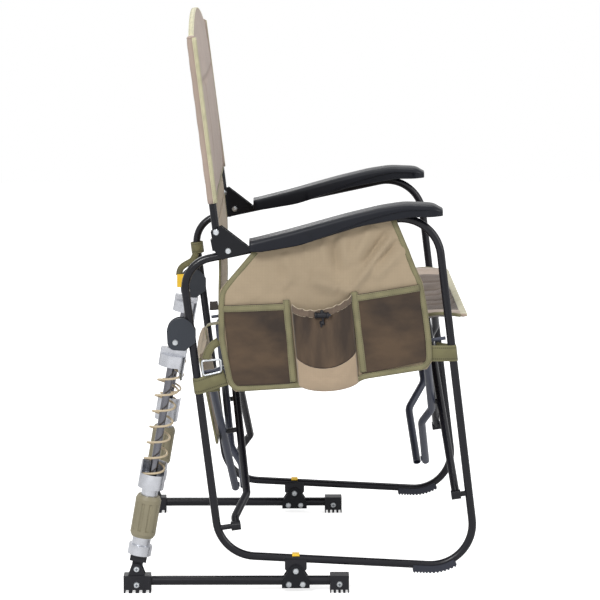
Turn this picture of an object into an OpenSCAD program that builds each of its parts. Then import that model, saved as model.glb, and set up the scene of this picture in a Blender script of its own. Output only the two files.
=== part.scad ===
// Folding rocking chair on two sprung base rails, with a slung seat and side pockets.
// X points to the front of the chair, Y to the occupant's left and Z up.
// Side views are drawn with X measured from the rocking pivot, then centred by place().

/* [Side frames] */
// Distance from the middle of the chair to the middle of each side frame
half_width = 290; // [285:1:297]
// Outer diameter of the frame tube
tube_d = 13.5; // [13:0.1:14]
// Wall of the frame tube
tube_wall = 1.2; // [1:0.1:2]
// Forward place of the rear top corner of the side loop
rear_top_x = -189; // [-192:1:-186]
// Height of the rear top corner of the side loop
rear_top_z = 560; // [556:1:564]
// Centre-line bend radius at the rear top corner
rear_top_bend = 50; // [45:1:55]
// Forward place of the front top corner of the side loop
front_top_x = 232; // [229:1:235]
// Height of the front top corner of the side loop
front_top_z = 650; // [646:1:654]
// Centre-line bend radius at the front top corner
front_top_bend = 68; // [62:1:72]
// Forward place of the front bottom corner of the side loop
front_low_x = 308; // [306:1:311]
// Height of the front bottom corner of the side loop
front_low_z = 41; // [40:0.5:42]
// Centre-line bend radius at the front bottom corner
front_low_bend = 70; // [66:1:74]
// Forward place of the rear bottom corner of the side loop
rear_low_x = -127; // [-129:1:-125]
// Height of the rear bottom corner of the side loop
rear_low_z = 64; // [63:0.5:65]
// Centre-line bend radius at the rear bottom corner
rear_low_bend = 68; // [62:1:74]

/* [Base rails] */
// Outer diameter of the base rail tube
rail_d = 16; // [15:0.1:16.5]
// Wall of the base rail tube
rail_wall = 1.2; // [1:0.1:2]
// Height of the middle of the base rail
rail_z = 19; // [18.5:0.1:20]
// Length of the rear foot
rear_foot_len = 46; // [44:1:48]
// Height of the rear foot
rear_foot_h = 33; // [32:0.5:34]
// Length of the front foot
front_foot_len = 32; // [30:1:36]
// Height of the front foot
front_foot_h = 30; // [29:0.5:32]
// Distance from the rocking pivot to the front face of the front foot
front_foot_x = 90; // [86:1:94]
// Width of each foot
foot_w = 27; // [26:0.5:29]
// Height of the grooves under the feet
foot_groove_h = 5.5; // [4:0.1:6]
// Height of the rocking pivot
pivot_z = 37; // [36.5:0.1:38]
// Half the foot of the rocking bracket
bracket_base_half = 23.5; // [22:0.5:26]
// Sheet thickness of the pressed brackets
sheet_t = 2.5; // [2:0.1:3]
// Diameter of the hinge rivets
pin_d = 6; // [5:0.1:6.5]
// Radial running clearance of a rivet in its hole
pin_gap = 0.05; // [0.02:0.01:0.08]
// Diameter of the round rivet heads
rivet_head_d = 10.8; // [10:0.1:12]
// Height of the round rivet heads
rivet_head_h = 2.2; // [1.5:0.1:3]

/* [Shocks] */
// Distance from the rocking pivot back to the lower rivet of the shock
shock_low_x = -269; // [-271:1:-267]
// Height of the lower rivet of the shock
shock_low_z = 41; // [40.5:0.1:42]
// Forward place of the upper rivet of the shock
shock_top_x = -201; // [-202:0.5:-200]
// Height of the upper rivet of the shock
shock_top_z = 429; // [426:1:432]
// Radial play of the eye on the upper rivet
shock_eye_play = 2.6; // [2.5:0.1:3]
// Diameter of the piston rod
rod_d = 13; // [12:0.1:14]
// Diameter of the silver tube
shock_tube_d = 31; // [30:0.1:32]
// Diameter of the neck inside the sleeve
shock_neck_d = 28; // [27:0.1:28.5]
// Outer diameter of the spring cups
cup_d = 44; // [43:0.5:46]
// Wall of the spring cups
cup_wall = 2; // [1.5:0.1:2.5]
// Outer diameter of the fluted sleeve
sleeve_d = 43; // [41:0.5:44]
// Number of flutes round the sleeve
flutes = 10; // [8:1:12]
// Mean diameter of the spring
spring_mean_d = 36; // [33:0.5:37]
// Wire of the spring
spring_wire_d = 4; // [3.5:0.1:4.2]
// Curls of the spring
spring_turns = 7; // [6:1:8]

/* [Folding legs] */
// Forward place of the rear knuckle
knuckle_rear_x = -101; // [-104:1:-99]
// Height of the rear knuckle
knuckle_rear_z = 114; // [112:1:116]
// Forward place of the front knuckle
knuckle_front_x = 270; // [268:1:271]
// Height of the front knuckle
knuckle_front_z = 167; // [165:1:169]
// Height of the seat rail above the knuckles, square to their line
scissor_h = 268; // [262:1:274]
// Shift of the inner legs from the outer legs at the rear crossing
rear_cross_gap = 30; // [28:0.5:32]
// Shift of the inner legs from the outer legs at the front crossing
front_cross_gap = 16; // [15.5:0.5:17]

/* [Back] */
// Diameter of the back posts
post_d = 12.5; // [12:0.1:13]
// Forward place of the hinge of the back posts
post_hinge_x = -132; // [-134:1:-130]
// Height of the hinge of the back posts
post_hinge_z = 614; // [612:1:617]
// Backward lean of the back
back_lean = 7.1; // [6:0.1:8]
// Length of the post above its hinge
post_len = 322; // [310:1:330]
// Rise of the arched top above the post ends
back_arch = 36; // [28:1:40]
// Thickness of the padded back at its edges
back_t = 15; // [13:0.5:17]
// Crown of the padded back
back_crown = 9; // [5:0.5:12]

/* [Armrests] */
// Width of the armrest
arm_w = 54; // [52:0.5:56]
// Length of the armrest along the chair
arm_len = 320; // [314:1:324]
// Height of the rear end of the armrest top
arm_rear_z = 605; // [603:0.5:607]
// Rise of the armrest top from its rear end to its crest
arm_rise = 58; // [56:0.5:60]
// Depth of the armrest at its rear end
arm_depth = 21; // [19:0.5:23]

/* [Seat] */
// Thickness of the seat cushion at its middle
seat_t = 8; // [6:0.5:10]
// Sag of the seat between its two sides
seat_sag = 24; // [18:0.5:25]
// Depth of the sling's sleeves round the seat rails
sling_t = 29; // [28:1:32]
// Sewn channels along the seat cushion
seat_channels = 9; // [5:2:9]

/* [Side pockets] */
// Distance of the pocket panel outside the frame tube
panel_gap = 0.6; // [0.4:0.1:1]
// Thickness of the pocket panel
panel_t = 1.6; // [1.2:0.1:2]
// Bulge of the cup pocket
cup_bulge = 21; // [16:0.5:24]
// Width of the webbing straps
strap_w = 28; // [26:0.5:30]
// Thickness of the webbing
strap_t = 1.6; // [1.2:0.1:2]

/* [Hidden] */
$fn = 48;
right_side = -1;
left_side = 1;
// Gap between seated pieces, and the overrun of cuts
seat_gap = 0.3;
over = 1;
black = [0.13, 0.13, 0.16];
slate = [0.19, 0.2, 0.24];
silver = [0.78, 0.8, 0.82];
tan_cloth = [0.7, 0.63, 0.53];
brown_mesh = [0.3, 0.24, 0.19];
olive = [0.55, 0.54, 0.37];

tube_r = tube_d / 2;
rail_r = rail_d / 2;
loop_path = [
    [rear_top_x, rear_top_z, rear_top_bend],
    [rear_low_x, rear_low_z, rear_low_bend],
    [front_low_x, front_low_z, front_low_bend],
    [front_top_x, front_top_z, front_top_bend]
];

// Directions and corners of a tube path of [x, y, bend radius]
function wrap(path, i) = (i + len(path)) % len(path);
function path_point(path, i) = [path[wrap(path, i)][0], path[wrap(path, i)][1]];
function heading(a, b) = atan2(b[1] - a[1], b[0] - a[0]);
function heading_in(path, i) = heading(path_point(path, i - 1), path_point(path, i));
function heading_out(path, i) = heading(path_point(path, i), path_point(path, i + 1));
function signed(angle) = angle > 180 ? angle - 360 : angle <= -180 ? angle + 360 : angle;
function turn_at(path, i) = signed(heading_out(path, i) - heading_in(path, i));
function bend_at(path, i) = path[wrap(path, i)][2];
function setback(path, i) = bend_at(path, i) * tan(abs(turn_at(path, i)) / 2);
function ray(angle) = [cos(angle), sin(angle)];
function bend_centre(path, i) =
    path_point(path, i) - setback(path, i) * ray(heading_in(path, i))
    + bend_at(path, i) * sign(turn_at(path, i)) * ray(heading_in(path, i) + 90);
// Place on the line from a to b at a given height or distance
function x_at(a, b, z) = a[0] + (b[0] - a[0]) * (z - a[1]) / (b[1] - a[1]);
function z_at(a, b, x) = a[1] + (b[1] - a[1]) * (x - a[0]) / (b[0] - a[0]);

// Tube that follows a path in the XY plane, with true bends. Each straight run reaches
// a little way into its bends, which are a hair thicker.
run_in = 0.5;
bend_swell = 0.05;
module bent_tube(path, d, closed = false, past = 0) {
    n = len(path);
    last_run = closed ? n - 1 : n - 2;
    first_bend = closed ? 0 : 1;
    bends = closed ? n : n - 2;
    for (i = [0:last_run]) {
        a = path_point(path, i);
        b = path_point(path, i + 1);
        from_a = closed || i > 0 ? setback(path, i) - run_in : -past;
        from_b = closed || i < n - 2 ? setback(path, i + 1) - run_in : -past;
        translate([a[0], a[1], 0])
            rotate([0, 0, heading(a, b)])
                translate([from_a, 0, 0])
                    rotate([0, 90, 0])
                        cylinder(h = norm(b - a) - from_a - from_b, d = d);
    }
    for (k = [0:1:bends - 1]) {
        i = first_bend + k;
        turn = turn_at(path, i);
        centre = bend_centre(path, i);
        begin = turn > 0 ? heading_in(path, i) - 90 : heading_in(path, i) + 90 + turn;
        translate([centre[0], centre[1], 0])
            rotate([0, 0, begin])
                rotate_extrude(angle = abs(turn))
                    translate([bend_at(path, i), 0])
                        circle(d = d + bend_swell);
    }
}
module hollow_tube(path, d, wall, closed = false) {
    difference() {
        bent_tube(path, d, closed);
        bent_tube(path, d - 2 * wall, closed, over);
    }
}

// The chair's box is centred on the origin between the rear feet and the front bends
rear_foot_shift = 1;
rear_foot_x = shock_low_x - rear_foot_len / 2 + rear_foot_shift;
chair_front_x = bend_centre(loop_path, 2)[0] + front_low_bend + tube_r;
centre_x = (chair_front_x + rear_foot_x) / 2;
panel_out = tube_r + panel_gap + panel_t;
module place() {
    translate([-centre_x, 0, 0])
        children();
}
// Frame of one side: the XY plane of the children becomes the side's XZ plane
module side_plane(side) {
    place()
        translate([0, side * half_width, 0])
            rotate([90, 0, 0])
                children();
}
// Round bar in the side plane from one point to another
module bar(side, a, b, d) {
    side_plane(side)
        translate([a[0], a[1], 0])
            rotate([0, 0, heading(a, b)])
                rotate([0, 90, 0])
                    cylinder(h = norm(b - a), d = d);
}
// Plate in the side plane, between two distances outward from the side plane's middle
module side_plate(side, from, to) {
    side_plane(side)
        translate([0, 0, side == right_side ? from : -to])
            linear_extrude(height = to - from)
                children();
}

// Side loops
top_bar_rear = path_point(loop_path, 0);
top_bar_front = path_point(loop_path, 3);
low_bar_rear = path_point(loop_path, 1);
low_bar_front = path_point(loop_path, 2);
drain_d = 4;
drain_x = 150;
module side_loop(side) {
    side_plane(side)
        difference() {
            hollow_tube(loop_path, tube_d, tube_wall, true);
            translate([drain_x, z_at(low_bar_rear, low_bar_front, drain_x), 0])
                rotate([-90, 0, 0])
                    cylinder(h = tube_d, d = drain_d);
        }
}
module right_side_loop() {
    color(black)
        side_loop(right_side);
}
module left_side_loop() {
    color(black)
        side_loop(left_side);
}

// Armrests: a moulded shell with a channel over the top tube
arm_rear_x = -77;
arm_edge_r = 8;
arm_top_gap = seat_gap + tube_r;
arm_top_shares = [[0, 0], [0.2, 0.25], [0.5, 0.66], [0.68, 0.9], [0.8, 1], [0.95, 0.97], [0.99, 0.87]];
arm_low_shares = [[1, 0.7], [0.97, 0.67], [0.91, 0.67], [0.85, 0.6], [0.68, 0.41]];
arm_lip = 3;
arm_tail = 8;
arm_mid_share = 0.245;
arm_mid_rise_share = 0.17;
arm_profile = concat(
    [for (s = arm_top_shares) [arm_rear_x + arm_len * s[0], arm_rear_z + arm_rise * s[1]]],
    [for (s = arm_low_shares) [arm_rear_x + arm_len * s[0], arm_rear_z + arm_rise * s[1] - arm_lip]],
    [[arm_rear_x + arm_len * arm_mid_share, arm_rear_z + arm_rise * arm_mid_rise_share - arm_depth]],
    [[arm_rear_x + arm_tail, arm_rear_z - arm_depth]]
);
arm_channel_gap = 0.25;
arm_shift = 4;
module armrest(side) {
    half = arm_w / 2;
    slope = atan2(top_bar_front[1] - top_bar_rear[1], top_bar_front[0] - top_bar_rear[0]);
    difference() {
        intersection() {
            side_plate(side, arm_shift - half, arm_shift + half)
                polygon(arm_profile);
            place()
                translate([0, side * (half_width + arm_shift), 0])
                    linear_extrude(height = arm_rear_z + arm_len)
                        hull() {
                            for (x = [arm_rear_x + arm_edge_r, arm_rear_x + arm_len - arm_edge_r])
                                for (y = [arm_edge_r - half, half - arm_edge_r])
                                    translate([x, y])
                                        circle(r = arm_edge_r, $fn = 32);
                        }
        }
        side_plane(side)
            translate([top_bar_rear[0], top_bar_rear[1], 0])
                rotate([0, 0, slope])
                    translate([0, arm_top_gap - arm_len, -tube_r - arm_channel_gap])
                        cube([arm_len + arm_channel_end, arm_len, tube_d + 2 * arm_channel_gap]);
    }
}
arm_channel_end = 102;
module right_armrest() {
    color(slate)
        armrest(right_side);
}
module left_armrest() {
    color(slate)
        armrest(left_side);
}

// Brackets are two plates astride the loop tube
plate_gap = 0.25;
plate_in = tube_r + plate_gap;
module plate_pair(side) {
    side_plate(side, plate_in, plate_in + sheet_t)
        children();
    side_plate(side, -plate_in - sheet_t, -plate_in)
        children();
}
bracket_apex = [9, 10];
bracket_left = [-9, 1];
bracket_low_left = [-3, -31];
bracket_low = [10, -46];
bracket_tip = [57, -31];
bracket_tip_top = [53, -24];
bracket_shoulder = [26, -3];
bracket_rivet = [20, -31];
post_hinge = [post_hinge_x, post_hinge_z];
// Rear wall that joins the two bracket plates, low enough for the tail of the post to swing past
bracket_wall_share = 0.42;
bracket_wall_top = bracket_left + (bracket_low_left - bracket_left) * bracket_wall_share;
module back_bracket(side) {
    difference() {
        union() {
            plate_pair(side)
                polygon([
                    post_hinge + bracket_apex, post_hinge + bracket_left, post_hinge + bracket_low_left,
                    post_hinge + bracket_low, post_hinge + bracket_tip, post_hinge + bracket_tip_top,
                    post_hinge + bracket_shoulder
                ]);
            side_plate(side, -plate_in - sheet_t, plate_in + sheet_t)
                polygon([
                    post_hinge + bracket_wall_top, post_hinge + bracket_low_left,
                    post_hinge + bracket_low_left - [sheet_t, 0],
                    post_hinge + bracket_wall_top - [sheet_t, 0]
                ]);
        }
        side_plate(side, -arm_w, arm_w)
            translate(post_hinge)
                circle(d = pin_d + 2 * pin_gap);
    }
}
module right_back_bracket() {
    color(black)
        back_bracket(right_side);
}
module left_back_bracket() {
    color(black)
        back_bracket(left_side);
}

// Shock brackets: round-backed plates behind the rear leg of the loop
shock_top = [shock_top_x, shock_top_z];
shock_plate_r = 13;
shock_plate_back_r = 23;
shock_plate_back = [9, 18];
shock_plate_top = [12, 41];
shock_plate_low = [16, -14];
shock_plate_front = [34, 20];
module shock_bracket(side) {
    difference() {
        plate_pair(side)
            hull() {
                translate(shock_top)
                    circle(r = shock_plate_r, $fn = 32);
                translate(shock_top + shock_plate_back)
                    circle(r = shock_plate_back_r, $fn = 48);
                polygon([
                    shock_top + shock_plate_top, shock_top + shock_plate_low,
                    shock_top + [shock_plate_front[0], 0],
                    shock_top + shock_plate_front
                ]);
            }
        side_plate(side, -arm_w, arm_w)
            translate(shock_top)
                circle(d = pin_d + 2 * pin_gap);
    }
}
module right_shock_bracket() {
    color(black)
        shock_bracket(right_side);
}
module left_shock_bracket() {
    color(black)
        shock_bracket(left_side);
}

// Shock frame: Z runs from the lower rivet to the upper rivet
shock_low = [shock_low_x, shock_low_z];
shock_len = norm(shock_top - shock_low);
shock_tilt = atan2(shock_top[0] - shock_low[0], shock_top[1] - shock_low[1]);
module shock_axis(side) {
    place()
        translate([shock_low[0], side * half_width, shock_low[1]])
            rotate([0, shock_tilt, 0])
                children();
}
// Stations of the shock measured up from the lower rivet
yoke_top = 24;
collar_low = 25;
collar_top = 42;
collar_d = 40;
sleeve_low = 56;
sleeve_top = 128;
sleeve_chamfer = 6;
flute_d = 7;
ring_low = 141;
ring_top = 157;
lower_cup_top = 186;
rod_bore_low = 60;
upper_cup_low = 352;
upper_cup_top = 383;
upper_cup_skirt = 20;
rod_low = 112;
eye_r = 11;
eye_w = tube_d - plate_gap;
spring_low = ring_top + seat_gap + spring_wire_d / 2;
spring_top = upper_cup_low - seat_gap - spring_wire_d / 2;

// Upper cup with a slanted skirt and the eye that hangs on the upper rivet
module shock_cup(side) {
    shock_axis(side)
        difference() {
            union() {
                translate([0, 0, upper_cup_low])
                    cylinder(h = upper_cup_top - upper_cup_low, d = cup_d);
                translate([0, 0, upper_cup_low - upper_cup_skirt])
                    intersection() {
                        difference() {
                            cylinder(h = upper_cup_skirt, d = cup_d);
                            translate([0, 0, -over])
                                cylinder(h = upper_cup_skirt + over, d = cup_d - 2 * cup_wall);
                        }
                        rotate([90, 0, 0])
                            translate([0, 0, -cup_d])
                                linear_extrude(height = 2 * cup_d)
                                    polygon([
                                        [skirt_from, upper_cup_skirt], [cup_d, upper_cup_skirt],
                                        [cup_d, -over], [skirt_tip, -over]
                                    ]);
                    }
                intersection() {
                    rotate([90, 0, 0])
                        translate([0, shock_len, -eye_w / 2])
                            cylinder(h = eye_w, r = eye_r);
                    translate([-cup_d, -cup_d, upper_cup_top])
                        cube([2 * cup_d, 2 * cup_d, cup_d]);
                }
            }
            rotate([90, 0, 0])
                translate([0, shock_len, -cup_d])
                    cylinder(h = 2 * cup_d, r = pin_d / 2 + shock_eye_play);
            for (y = [-cup_d, plate_in - plate_gap / 2])
                translate([-cup_d, y, upper_cup_slot])
                    cube([2 * cup_d, cup_d - plate_in + plate_gap / 2, cup_d]);
        }
}
skirt_from = 12;
skirt_tip = 19;
// Flats on both sides of the cup top that clear the bracket plates
upper_cup_slot = 372;
module right_shock_cup() {
    color(silver)
        shock_cup(right_side);
}
module left_shock_cup() {
    color(silver)
        shock_cup(left_side);
}

// Piston rod screwed under the upper cup
module shock_rod(side) {
    shock_axis(side)
        translate([0, 0, rod_low])
            cylinder(h = upper_cup_low - rod_low, d = rod_d);
}
module right_shock_rod() {
    color(silver)
        shock_rod(right_side);
}
module left_shock_rod() {
    color(silver)
        shock_rod(left_side);
}

// Spring: one unbroken wire, with eight rings a curl and six sides
curl_rings = 8;
wire_sides = 6;
spring_rings = spring_turns * curl_rings;
spring_pitch = (spring_top - spring_low) / spring_turns;
function coil_point(k) =
    let (turn = 360 * k / curl_rings, r = spring_mean_d / 2)
        [cos(turn) * r, sin(turn) * r, spring_low + spring_pitch * k / curl_rings];
spring_rise = atan2(spring_pitch, PI * spring_mean_d);
function wire_ring(k) =
    let (turn = 360 * k / curl_rings)
        [for (s = [0:wire_sides - 1])
            let (a = 360 * s / wire_sides)
            let (out = cos(a) * spring_wire_d / 2, up = sin(a) * spring_wire_d / 2)
                coil_point(k) + [
                    out * cos(turn) + up * sin(spring_rise) * sin(turn),
                    out * sin(turn) - up * sin(spring_rise) * cos(turn),
                    up * cos(spring_rise)
                ]];
wire_points = [for (k = [0:spring_rings]) each wire_ring(k)];
wire_faces = concat(
    [for (k = [0:spring_rings - 1], s = [0:wire_sides - 1])
        let (t = (s + 1) % wire_sides, a = k * wire_sides, b = a + wire_sides)
            [a + s, b + t, b + s]],
    [for (k = [0:spring_rings - 1], s = [0:wire_sides - 1])
        let (t = (s + 1) % wire_sides, a = k * wire_sides, b = a + wire_sides)
            [a + s, a + t, b + t]],
    [for (s = [1:wire_sides - 2]) [0, s + 1, s]],
    [for (s = [1:wire_sides - 2])
        let (a = spring_rings * wire_sides)
            [a, a + s, a + s + 1]]
);
spring_self_gap = min([
    for (k = [0:curl_rings], m = [k + curl_rings / 2:spring_rings])
        norm(coil_point(k) - coil_point(m)) - spring_wire_d
]);
echo(spring_self_gap = spring_self_gap);
module shock_spring(side) {
    shock_axis(side)
        polyhedron(points = wire_points, faces = wire_faces);
}
module right_shock_spring() {
    color([0.75, 0.69, 0.58])
        shock_spring(right_side);
}
module left_shock_spring() {
    color([0.75, 0.69, 0.58])
        shock_spring(left_side);
}

// Fluted sleeve round the neck
module shock_sleeve(side) {
    shock_axis(side)
        translate([0, 0, sleeve_low])
            difference() {
                rotate_extrude()
                    polygon([
                        [shock_neck_d / 2 + pin_gap, 0],
                        [sleeve_d / 2 - sleeve_chamfer / 2, 0],
                        [sleeve_d / 2, sleeve_chamfer],
                        [sleeve_d / 2, sleeve_top - sleeve_low - sleeve_chamfer],
                        [sleeve_d / 2 - sleeve_chamfer / 2, sleeve_top - sleeve_low],
                        [shock_neck_d / 2 + pin_gap, sleeve_top - sleeve_low]
                    ]);
                for (i = [0:flutes - 1])
                    rotate([0, 0, 360 * i / flutes])
                        translate([sleeve_d / 2 + flute_out, 0, 2 * sleeve_chamfer])
                            cylinder(h = sleeve_top - sleeve_low - 4 * sleeve_chamfer, d = flute_d, $fn = 24);
            }
}
flute_out = 1.5;
module right_shock_sleeve() {
    color([0.55, 0.53, 0.44])
        shock_sleeve(right_side);
}
module left_shock_sleeve() {
    color([0.55, 0.53, 0.44])
        shock_sleeve(left_side);
}

// Silver tube with its collar, neck, ring and open lower cup
module shock_tube(side) {
    neck_low = sleeve_low - seat_gap;
    shock_axis(side)
        difference() {
            rotate_extrude()
                polygon([
                    [0, collar_low],
                    [collar_d / 2, collar_low],
                    [collar_d / 2, collar_top],
                    [shock_tube_d / 2, collar_top],
                    [shock_tube_d / 2, neck_low],
                    [shock_neck_d / 2, neck_low],
                    [shock_neck_d / 2, ring_low],
                    [cup_d / 2, ring_low],
                    [cup_d / 2, lower_cup_top],
                    [cup_d / 2 - cup_wall, lower_cup_top],
                    [cup_d / 2 - cup_wall, ring_top],
                    [rod_d / 2 + pin_gap, ring_top],
                    [rod_d / 2 + pin_gap, rod_bore_low],
                    [0, rod_bore_low]
                ]);
            translate([-cup_window / 2, side > 0 ? cup_window_in : -cup_d, cup_window_low])
                cube([cup_window, cup_d - cup_window_in, cup_d]);
        }
}
// Window in the outward side of the lower cup
cup_window = 38;
cup_window_in = 4;
cup_window_low = 166;
module right_shock_tube() {
    color(silver)
        shock_tube(right_side);
}
module left_shock_tube() {
    color(silver)
        shock_tube(left_side);
}

// Yoke: a notched block with a tongue that turns on the lower rivet
yoke_w = 28;
yoke_low = 14;
yoke_depth = 26;
tongue_t = 15;
tongue_r = 9;
yoke_notch = 3;
module shock_yoke(side) {
    shock_axis(side)
        difference() {
            union() {
                translate([-yoke_w / 2, -yoke_depth / 2, yoke_low])
                    cube([yoke_w, yoke_depth, collar_low - yoke_low]);
                rotate([90, 0, 0])
                    translate([0, 0, -tongue_t / 2])
                        linear_extrude(height = tongue_t) {
                            circle(r = tongue_r);
                            translate([-tongue_r, 0])
                                square([2 * tongue_r, yoke_low]);
                        }
            }
            rotate([90, 0, 0])
                translate([0, 0, -yoke_w])
                    cylinder(h = 2 * yoke_w, d = pin_d + 2 * pin_gap);
            for (x = [-yoke_w / 2 - over, yoke_w / 2 - yoke_notch])
                translate([x, -yoke_depth, (yoke_low + collar_low - yoke_notch) / 2])
                    cube([yoke_notch + over, 2 * yoke_depth, yoke_notch]);
        }
}
module right_shock_yoke() {
    color(black)
        shock_yoke(right_side);
}
module left_shock_yoke() {
    color(black)
        shock_yoke(left_side);
}

// Base rails, with their ends seated in the feet
rail_end_wall = 6;
rail_rear_x = rear_foot_x + rail_end_wall;
rail_front_x = front_foot_x - rail_end_wall;
module base_rail(side) {
    side_plane(side)
        hollow_tube([[rail_rear_x, rail_z, 0], [rail_front_x, rail_z, 0]], rail_d, rail_wall);
}
module right_base_rail() {
    color(black)
        base_rail(right_side);
}
module left_base_rail() {
    color(black)
        base_rail(left_side);
}

// Feet: blocks with a round socket for the rail and grooves across the sole
foot_grooves = 4;
foot_groove_share = 0.5;
ear_t = 3;
ear_in = tongue_t / 2 + seat_gap;
ear_r = 9.5;
module foot_block(side, x, length, height) {
    side_plate(side, -foot_w / 2, foot_w / 2)
        difference() {
            translate([x, 0])
                square([length, height]);
            for (i = [0:foot_grooves - 1]) {
                pitch = length / foot_grooves;
                width = pitch * foot_groove_share;
                translate([x + pitch * (i + 1 / 2) - width / 2, -over])
                    square([width, foot_groove_h + over]);
            }
        }
}
module rail_socket(side) {
    side_plane(side)
        translate([rail_rear_x, rail_z, 0])
            rotate([0, 90, 0])
                cylinder(h = rail_front_x - rail_rear_x, d = rail_d + 2 * pin_gap);
}
module rail_feet(side) {
    difference() {
        union() {
            foot_block(side, rear_foot_x, rear_foot_len, rear_foot_h - ear_drop);
            for (from = [ear_in, -ear_in - ear_t])
                side_plate(side, from, from + ear_t)
                    difference() {
                        hull() {
                            translate(shock_low)
                                circle(r = ear_r, $fn = 32);
                            translate([shock_low[0] - ear_foot, rail_z])
                                square([2 * ear_foot, over]);
                        }
                        translate(shock_low)
                            circle(d = pin_d + 2 * pin_gap);
                    }
        }
        rail_socket(side);
    }
    difference() {
        foot_block(side, front_foot_x - front_foot_len, front_foot_len, front_foot_h);
        rail_socket(side);
    }
}
ear_drop = 3;
ear_foot = 18;
module right_rail_feet() {
    color(black)
        rail_feet(right_side);
}
module left_rail_feet() {
    color(black)
        rail_feet(left_side);
}

// Rocking brackets: triangular plates on both sides of the rail, joined under it
pivot = [0, pivot_z];
pivot_plate_in = rail_r + plate_gap;
bracket_floor_z = rail_z - rail_r - plate_gap;
bracket_low_z = bracket_floor_z - sheet_t;
bracket_side_z = 21;
pivot_plate_top_r = 11;
module pivot_bracket(side) {
    difference() {
        union() {
            for (from = [pivot_plate_in, -pivot_plate_in - sheet_t])
                side_plate(side, from, from + sheet_t)
                    hull() {
                        translate(pivot)
                            circle(r = pivot_plate_top_r, $fn = 32);
                        translate([-bracket_base_half, bracket_low_z])
                            square([2 * bracket_base_half, bracket_side_z - bracket_low_z]);
                    }
            side_plate(side, -pivot_plate_in - over, pivot_plate_in + over)
                translate([-bracket_base_half, bracket_low_z])
                    square([2 * bracket_base_half, sheet_t]);
        }
        side_plate(side, -arm_w, arm_w)
            translate(pivot)
                circle(d = pin_d + 2 * pin_gap);
    }
}
module right_pivot_bracket() {
    color(black)
        pivot_bracket(right_side);
}
module left_pivot_bracket() {
    color(black)
        pivot_bracket(left_side);
}

// Saddles under the loops, between the plates of the rocking brackets
saddle_half = 18.5;
saddle_low = pivot_z - 4;
saddle_chin = 7;
saddle_top = 57;
module pivot_saddle(side) {
    difference() {
        side_plate(side, -rail_r, rail_r)
            polygon([
                [-saddle_half + saddle_chin, saddle_low], [saddle_half - saddle_chin, saddle_low],
                [saddle_half, saddle_low + saddle_chin], [saddle_half, saddle_top],
                [-saddle_half, saddle_top], [-saddle_half, saddle_low + saddle_chin]
            ]);
        bar(side, low_bar_rear, low_bar_front, tube_d + 2 * pin_gap);
        side_plate(side, -arm_w, arm_w)
            translate(pivot)
                circle(d = pin_d + 2 * pin_gap);
        side_plate(side, -arm_w, arm_w)
            translate([-2 * saddle_half, z_at(low_bar_rear, low_bar_front, 0)])
                square([4 * saddle_half, saddle_half]);
    }
}
module right_pivot_saddle() {
    color(black)
        pivot_saddle(right_side);
}
module left_pivot_saddle() {
    color(black)
        pivot_saddle(left_side);
}

// Small bright pads clipped on top of the loop above the pivot
pad_half = 6;
pad_t = 1.8;
module pivot_pad(side) {
    pad_z = z_at(low_bar_rear, low_bar_front, 0);
    difference() {
        side_plate(side, -tube_r, tube_r)
            translate([-pad_half, pad_z + tube_r - pad_t])
                square([2 * pad_half, 2 * pad_t]);
        bar(side, low_bar_rear, low_bar_front, tube_d + 2 * pin_gap);
    }
}
module right_pivot_pad() {
    color([0.95, 0.8, 0.25])
        pivot_pad(right_side);
}
module left_pivot_pad() {
    color([0.95, 0.8, 0.25])
        pivot_pad(left_side);
}

// Floor glides: ribbed shoes under the front bends and the end of the low bar
glide_sweep = 36;
glide_run = 26;
glide_w = 18;
glide_t = 4;
glide_rib_d = 4;
glide_run_ribs = 5;
glide_arc_ribs = 8;
module glide_section() {
    difference() {
        translate([0, -glide_w / 2])
            square([tube_r + glide_t, glide_w]);
        circle(d = tube_d + bend_swell + 2 * pin_gap);
    }
}
module glide_rib(r) {
    translate([r, 0, -glide_w / 2])
        cylinder(h = glide_w, d = glide_rib_d, $fn = 16);
}
module floor_glide(side) {
    centre = bend_centre(loop_path, 2);
    from = heading_in(loop_path, 2) - 90;
    rib_r = front_low_bend + tube_r + glide_t;
    side_plane(side)
        translate([centre[0], centre[1], 0])
            rotate([0, 0, from]) {
                rotate_extrude(angle = glide_sweep)
                    translate([front_low_bend, 0])
                        glide_section();
                translate([front_low_bend, over, 0])
                    rotate([90, 0, 0])
                        linear_extrude(height = glide_run + over)
                            glide_section();
                for (i = [0:glide_arc_ribs - 1])
                    rotate([0, 0, glide_sweep * (i + 1 / 2) / glide_arc_ribs])
                        glide_rib(rib_r);
                for (i = [0:glide_run_ribs - 1])
                    translate([0, -glide_run * (i + 1 / 2) / glide_run_ribs, 0])
                        glide_rib(rib_r);
            }
}
module right_floor_glide() {
    color(black)
        floor_glide(right_side);
}
module left_floor_glide() {
    color(black)
        floor_glide(left_side);
}

// Folding legs: on each side an outer pair rises from the knuckles to the middle,
// and a seat rail's two legs fall from the rail to the middle. They cross half way.
scissor_tilt = atan2(knuckle_front_z - knuckle_rear_z, knuckle_front_x - knuckle_rear_x);
knuckle_span = norm([knuckle_front_x - knuckle_rear_x, knuckle_front_z - knuckle_rear_z]);
leg_rise = atan2(scissor_h, half_width);
leg_len = norm([scissor_h, half_width]);
lap_gap = 2;
lap = tube_d + lap_gap;
lap_from = 90;
lap_to = 50;
rear_outer_s = 24;
rear_inner_s = rear_outer_s - rear_cross_gap;
front_inner_s = knuckle_span - front_cross_gap;
front_jog = 20;
jog_bend = 30;
knuckle_d = 16;
knuckle_len = 16;
elbow_bend = 28;
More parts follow.
